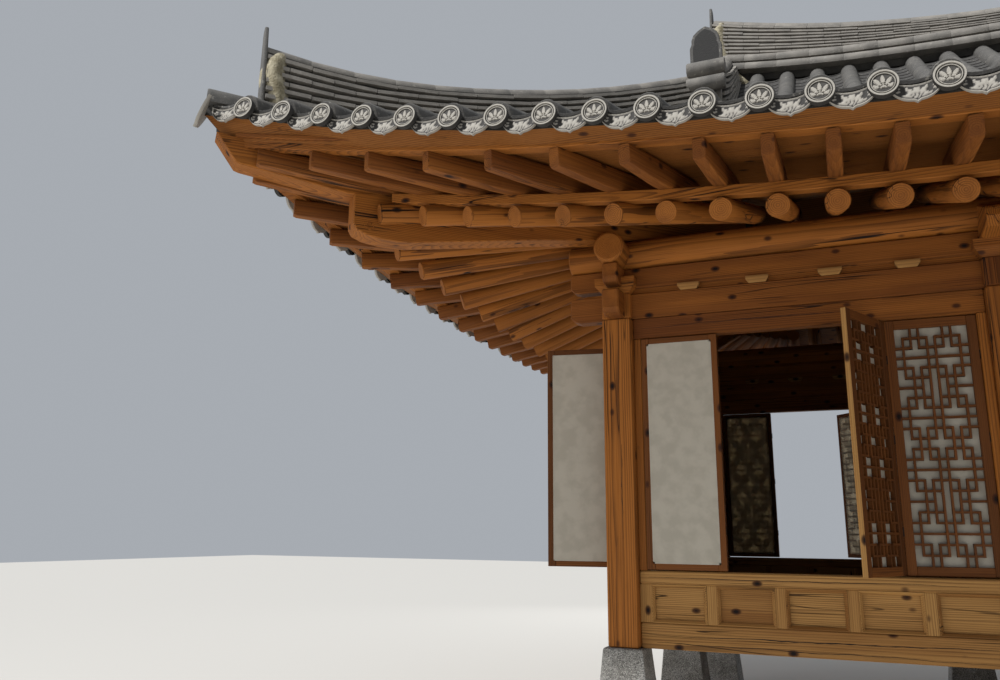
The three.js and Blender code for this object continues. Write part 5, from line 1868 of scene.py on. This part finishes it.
@dataclass
class Ridges(SubAssembly):
    """Ridges of a mortar core, thin staggered courses, a round cover, and upright tiles at their ends."""

    piece_length: float = 0.30
    core_foot: float = 0.105
    core_top: float = 0.075
    course_foot: float = 0.285
    course_taper: float = 0.075
    course_fill: float = 0.46
    # The extra round covers beside the main ridge, as places across and up.
    side_covers: tuple[Point2, ...] = ((0.150, 0.050), (-0.150, 0.050), (0.122, 0.150), (-0.122, 0.150))

    def build(self) -> None:
        """Makes the main ridge and the ridges that lead to the corners."""
        lines = [main_ridge_line()]
        for corner in Corner:
            lines += corner_ridge_lines(corner)
        for number, line in enumerate(lines):
            self._ridge(line, 150 + 7 * number)

    def _ridge(self, line: RidgeLine, seed: int) -> None:
        """Makes one ridge."""
        core, ends, mortar = (Shape(seed + i) for i in (0, 1, 4))
        self._core(core, line)
        self._ends(line, ends, mortar)
        plates, covers = self._courses(line, np.random.default_rng(seed + 5)), self._covers(line)
        self.keep(core.build(f"{line.name} core", Finish.BEDDING), [line.node])
        self.keep(self.scatter.run(f"{line.name} courses", self._plate(), plates, Finish.TILE, seed + 2))
        self.keep(self.scatter.run(f"{line.name} cover", self._roll(), covers, Finish.TILE, seed + 3))
        self.keep(smooth(ends.build(f"{line.name} end tiles", Finish.TILE)))
        if mortar.count:
            self.keep(smooth(mortar.build(f"{line.name} end mortar", Finish.MORTAR), 60))

    def _core(self, shape: Shape, line: RidgeLine) -> None:
        """Adds the core, which the courses' edges hide."""
        last = 24
        samples = [line.at(line.length * i / last) for i in range(last + 1)]
        rings = []
        for i, (foot, top) in enumerate(samples):
            way = samples[min(i + 1, last)][0] - samples[max(i - 1, 0)][0]
            across = Vector((0, 0, 1)).cross(Vector((way.x, way.y, 0)).normalized())
            crown = top - foot.z - 0.07
            low, high = self.core_foot, self.core_top
            outline = ((-low, -0.05), (low, -0.05), (high, crown), (-high, crown))
            rings.append([foot + across * a + Vector((0, 0, b)) for a, b in outline])
        shape.loft(rings)

    def _pieces(self, line: RidgeLine) -> tuple[int, float]:
        """How many pieces lie along a ridge, and how far apart they are."""
        count = max(2, round(line.length / self.piece_length))
        return count, line.length / count

    def _courses(self, line: RidgeLine, random: np.random.Generator) -> list[Spot]:
        """The spots of a ridge's thin courses, staggered like bricks and a little uneven."""
        spots, (count, pitch) = [], self._pieces(line)
        for course in range(line.courses):
            part = (course + 0.5) / line.courses
            shift = 0.5 if course % 2 else 0.0
            for i in range(count + (course % 2)):
                start, end = max(0.0, (i - shift) * pitch), min(line.length, (i + 1 - shift) * pitch)
                a, b = (self._level(line, d, part) for d in (start + 0.002, end - 0.002))
                foot, top = line.at((start + end) / 2)
                height = (top - foot.z - 0.10) / line.courses
                a.z += random.uniform(-0.0035, 0.0035)
                b.z += random.uniform(-0.0035, 0.0035)
                width = self.course_foot - self.course_taper * part + random.uniform(-0.008, 0.008)
                spots.append(Spot.of(between(a, b), ((b - a).length, width, height * self.course_fill)))
        return spots

    def _covers(self, line: RidgeLine) -> list[Spot]:
        """The spots of a ridge's round covers, with those beside the main ridge."""
        spots, (count, pitch) = [], self._pieces(line)
        steps = [(i * pitch, (i + 1) * pitch) for i in range(count)]
        for ends in steps:
            a, b = (self._level(line, d, None) for d in ends)
            spots.append(Spot.of(between(a, b), ((b - a).length * 1.04, 1, 1)))
        for reach, rise in self.side_covers if line.both_ends else ():
            for ends in steps:
                a, b = (line.at(d)[0] + Vector((0, reach, rise)) for d in ends)
                spots.append(Spot.of(between(a, b), ((b - a).length * 1.03, 0.82, 0.82)))
        return spots

    @staticmethod
    def _level(line: RidgeLine, distance: float, part: float | None) -> Vector:
        """A point on the ridge's middle at a share of its courses' height, or under its cover."""
        foot, top = line.at(distance)
        rise = top - foot.z - 0.072 if part is None else 0.02 + (top - foot.z - 0.10) * part
        return foot + Vector((0, 0, rise))

    def _plate(self) -> Thing:
        """A thin ridge tile one metre each way, from x = 0 to 1."""
        shape = Shape(15)
        shape.block((0, -0.5, -0.5), (1, 0.5, 0.5), 0, along=0)
        return shape.build("ridge plate", Finish.TILE)

    def _roll(self) -> Thing:
        """A round ridge cover one metre long and .14 across."""
        shape, rings = Shape(16), []
        for x, radius in ((0.0, 0.064), (0.03, 0.070), (0.97, 0.069), (1.0, 0.062)):
            arc = [(radius * cos(a), radius * sin(a)) for a in np.linspace(-0.5, pi + 0.5, 14)]
            rings.append([(x, y, z) for y, z in arc])
        shape.loft(rings, along=0)
        return shape.build("ridge roll", Finish.TILE)

    def _ends(self, line: RidgeLine, tiles: Shape, mortar: Shape) -> None:
        """Adds what closes a ridge's free ends.

        Args:
            line: The ridge.
            tiles: What gets the end tiles.
            mortar: What gets the mortar behind them.
        """
        for stop in [line.length] + ([0.0] if line.both_ends else []):
            foot, top = line.at(stop)
            other, _ = line.at(abs(stop - 0.2))
            way = Vector((foot.x - other.x, foot.y - other.y, 0)).normalized()
            place = between(foot, foot + way) @ Matrix.Rotation(pi / 2, 4, "Z")
            if line.name.startswith("falling"):
                place = place @ Matrix.Translation((0, -0.05, 0))
                self._arch(tiles, place @ Matrix.Translation((0, 0, top - foot.z - 0.06)), 0.33)
                tiles.block((-0.10, -0.010, -0.04), (0.10, 0.054, top - foot.z - 0.03), 0.004, place=place)
            else:
                self._blade(tiles, mortar, place, top - foot.z)

    def _arch(self, tiles: Shape, place: Matrix, height: float) -> None:
        """Adds the pointed arch tile with shoulders, and the two rolls that lie across under it."""
        right = [
            (0.128, -0.05), (0.128, height * 0.50), (0.112, height * 0.62), (0.112, height * 0.72),
            (0.095, height * 0.86), (0.055, height * 0.97),
        ]
        outline = right + [(0.0, height + 0.02)] + [(-x, z) for x, z in reversed(right)]
        tiles.prism(outline, -0.045, -0.005, 0.006, place=place, tone=0.05)
        # A thin dark slab just before the arch tile's face, at relief -1: painted shade in its concave face.
        hollow = [(x * 0.80, z * 0.86 + 0.02) for x, z in outline]
        rings = [[(x, y, z) for x, z in hollow] for y in (-0.040, -0.046)]
        tiles.loft(rings, place=place, tone=0.0, relief=[-1.0] * (2 * len(hollow)))
        for z, reach, radius in ((-0.060, -0.080, 0.066), (-0.215, -0.120, 0.062)):
            steps = ((-0.150, radius * 0.92), (-0.140, radius), (0.140, radius), (0.150, radius * 0.92))
            rings = [[(x, reach + a, z + b) for a, b in ring(size, 14)] for x, size in steps]
            tiles.loft(rings, place=place, along=0, tone=0.4)

    def _blade(self, tiles: Shape, mortar: Shape, place: Matrix, height: float) -> None:
        """Adds the thin upright tile at a ridge's end and the mortar heaped behind it."""
        over, turns = height + 0.105, np.linspace(pi / 2, -pi / 2, 7)
        crown = [(0.062 * sin(a), over + 0.028 * cos(a)) for a in turns]
        foot, waist = [(-0.118, -0.04), (0.118, -0.04)], height * 0.75
        outline = foot + [(0.108, waist)] + crown + [(-0.108, waist)]
        tiles.prism(outline, -0.024, -0.002, 0.004, place=place, tone=0.1)
        rings = []
        for step in range(9):
            angle = pi * step / 8
            swell = 0.75 + 0.25 * sin(angle) ** 0.5 if 0 < step < 8 else 0.55
            z = height * (-0.04 + 0.92 * step / 8)
            lean = 0.022 * sin(2.2 * angle)
            rings.append([(0.150 * swell * a, 0.070 + lean + 0.085 * swell * b, z) for a, b in ring(1.0, 16)])
        mortar.loft(rings, place=place, along=0)
        if height > 0.6:
            self._scrolls(mortar, place)

    @staticmethod
    def _scrolls(mortar: Shape, place: Matrix) -> None:
        """Adds the two curved rolls of mortar beside the main ridge's end, as places out, along and up."""
        bends = [(0.0, 0.10, 0.02), (0.10, 0.13, -0.06), (0.16, 0.16, -0.16)]
        bends += [(0.15, 0.19, -0.25), (0.10, 0.22, -0.33)]
        for part in (-1, 1):
            rings = []
            for k, (x, y, z) in enumerate(bends):
                along = y - 0.05 + 0.05 * k
                rings.append([(part * x + 0.035 * a, along, z + 0.10 + 0.045 * b) for a, b in ring(1.0, 10)])
            mortar.loft(rings, place=place)


@dataclass
class Gable(SubAssembly):
    """The bargeboards and boarded wall of one gable."""

    label: str
    face: Point2 = (3.1153, 3.1553)
    reach: float = 1.325
    depth: float = 0.47
    wall: Point2 = (2.865, 2.915)
    wall_width: float = 1.28
    boards: int = 9

    def build(self) -> None:
        """Makes the bargeboards, the boards behind them and the purlin's end."""
        shape, place = Shape(31), Matrix.Diagonal((1 if self.label == "right" else -1, 1, 1, 1))
        for part in (-1, 1):
            self._bargeboard(shape, place, part)
        shape.block((2.75, -0.09, 5.10), (3.10, 0.09, 5.46), 0.01, place=place, along=0)
        near, far = self.wall
        for i in range(self.boards):
            y0 = self.wall_width * (i / self.boards - 0.5)
            y1 = y0 + self.wall_width / self.boards
            top = bed(ROOF_X, (near + far) / 2, ROOF_Y - max(abs(y0), abs(y1))) - 0.11
            low, high = (near, y0 + 0.002, 4.60), (far, y1 - 0.002, max(top, 4.88))
            shape.block(low, high, 0.004, place=place, along=2)
        boards = shape.build(f"{self.label} bargeboards and gable boards", Finish.PINE)
        self.keep(boards, [f"gable_{self.label}"])

    def _bargeboard(self, shape: Shape, place: Matrix, part: int) -> None:
        """Adds the curved board under the roof's edge, on the front (-1) or the back (1)."""
        near, far = self.face
        rings, steps = [], 14
        for i in range(steps + 1):
            y = self.reach * i / steps
            top = bed(ROOF_X, 3.115, ROOF_Y - y)
            low, high = top - self.depth, top + 0.025
            corners = cut_corners([(near, low), (far, low), (far, high), (near, high)], 0.006)
            rings.append([(x, part * y, z) for x, z in corners])
        if part > 0:
            rings.reverse()
        shape.loft(rings, place=place, along=1, heart=0.1)


class LampKind(Enum):
    """The kinds of lamp in the studio."""

    SUN = "SUN"
    AREA = "AREA"


@dataclass(frozen=True)
class Lamp:
    """A lamp that the camera doesn't see.

    Its size is the sun's angle in radians or the area's width, and its power the sun's strength or the watts.
    """

    name: str
    kind: LampKind
    at: Point3
    to: Point3
    size: float
    power: float

    def build(self) -> None:
        """Makes the lamp."""
        data = bpy.data.lights.new(self.name, self.kind.value)
        data.energy = self.power
        setattr(data, "angle" if self.kind is LampKind.SUN else "size", self.size)
        lamp = in_scene(self.name, data)
        lamp.location = self.at
        lamp.rotation_euler = (Vector(self.to) - Vector(self.at)).to_track_quat("-Z", "Y").to_euler()
        lamp.visible_camera = False


@dataclass
class Studio:
    """A plain pale floor, soft light and the camera, at the photo's place and angle."""

    lens: float = 30.17
    eye: Point3 = (-2.170, -7.833, 1.600)
    heading: float = 0.3931
    pitch: float = 0.2264
    roll: float = 0.0093
    sky: str = "#D8DEE6"
    sky_power: float = 0.56
    floor_colour: str = "#BDBAB4"
    floor_reach: float = 40.0
    lamps: tuple[Lamp, ...] = (
        Lamp("sun", LampKind.SUN, (-9.0, -12.0, 20.0), (0, 0, 0), 0.05, 4.2),
        Lamp("bounce", LampKind.AREA, (-3.0, -6.5, 0.03), (-3.0, -6.5, 5.0), 7.0, 50),
        Lamp("left fill", LampKind.AREA, (-11.5, -9.0, 4.0), (-4.2, -1.6, 2.2), 5.0, 165),
        Lamp("back fill", LampKind.AREA, (-7.0, 11.0, 4.5), (-3.0, 2.2, 2.1), 3.0, 80),
    )

    def build(self) -> None:
        """Makes the floor, the lamps, the sky and the camera."""
        self._floor()
        for lamp in self.lamps:
            lamp.build()
        world = bpy.data.worlds.new("studio")
        world.use_nodes = True
        sky = world.node_tree.nodes["Background"].inputs
        sky["Color"].default_value = srgb(self.sky)
        sky["Strength"].default_value = self.sky_power
        bpy.context.scene.world = world
        bpy.context.scene.view_settings.view_transform = "Standard"
        self._camera()

    def _floor(self) -> None:
        """Makes the pale floor."""
        material, _, shader = new_material("pale studio floor")
        shader.inputs["Base Color"].default_value = srgb(self.floor_colour)
        shader.inputs["Roughness"].default_value = 0.9
        mesh = bpy.data.meshes.new("studio_floor")
        corners = rectangle(2 * self.floor_reach, 2 * self.floor_reach)
        mesh.from_pydata([(x, y, 0) for x, y in corners], [], [[0, 1, 2, 3]])
        mesh.materials.append(material)
        floor = in_scene("studio_floor", mesh)

    def _camera(self) -> None:
        """Makes the camera."""
        level, rise = cos(self.pitch), sin(self.pitch)
        ahead = Vector((-sin(self.heading) * level, cos(self.heading) * level, rise))
        right = ahead.cross(Vector((0, 0, 1))).normalized()
        up = right.cross(ahead)
        c, s = cos(self.roll), sin(self.roll)
        axes = Matrix((right * c + up * s, up * c - right * s, -ahead)).transposed().to_4x4()
        data = bpy.data.cameras.new("camera")
        data.lens, data.sensor_width, data.clip_end = self.lens, 36.0, 200
        camera = in_scene("camera", data)
        camera.matrix_world = Matrix.Translation(self.eye) @ axes
        bpy.context.scene.camera = camera


def main() -> None:
    """Loads the frame, builds every part of the house and the studio round it."""
    logging.basicConfig(level=logging.INFO, format="%(message)s")
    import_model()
    scatter = Scatter()
    sides = [side.value for side in Side]
    parts: list[SubAssembly] = [Plinths(scatter), Posts(scatter)]
    parts += [Walls(scatter, side) for side in sides]
    parts += [OpenLeaves(scatter), FloorBoards(scatter), HeadFrame(scatter), Purlins(scatter)]
    parts += [EaveTimbers(scatter, side) for side in sides]
    parts += [HipRafters(scatter)]
    parts += [Slope(scatter, side) for side in sides]
    parts += [Ridges(scatter), Gable(scatter, "left"), Gable(scatter, "right")]
    for part in parts:
        part.build()
        for piece in part.pieces:
            triangles = sum(len(face.vertices) - 2 for face in piece.data.polygons)
            LOG.info("%s: %s, %d triangles", type(part).__name__, piece.name, triangles)
    Studio().build()


if __name__ == "__main__":
    main()
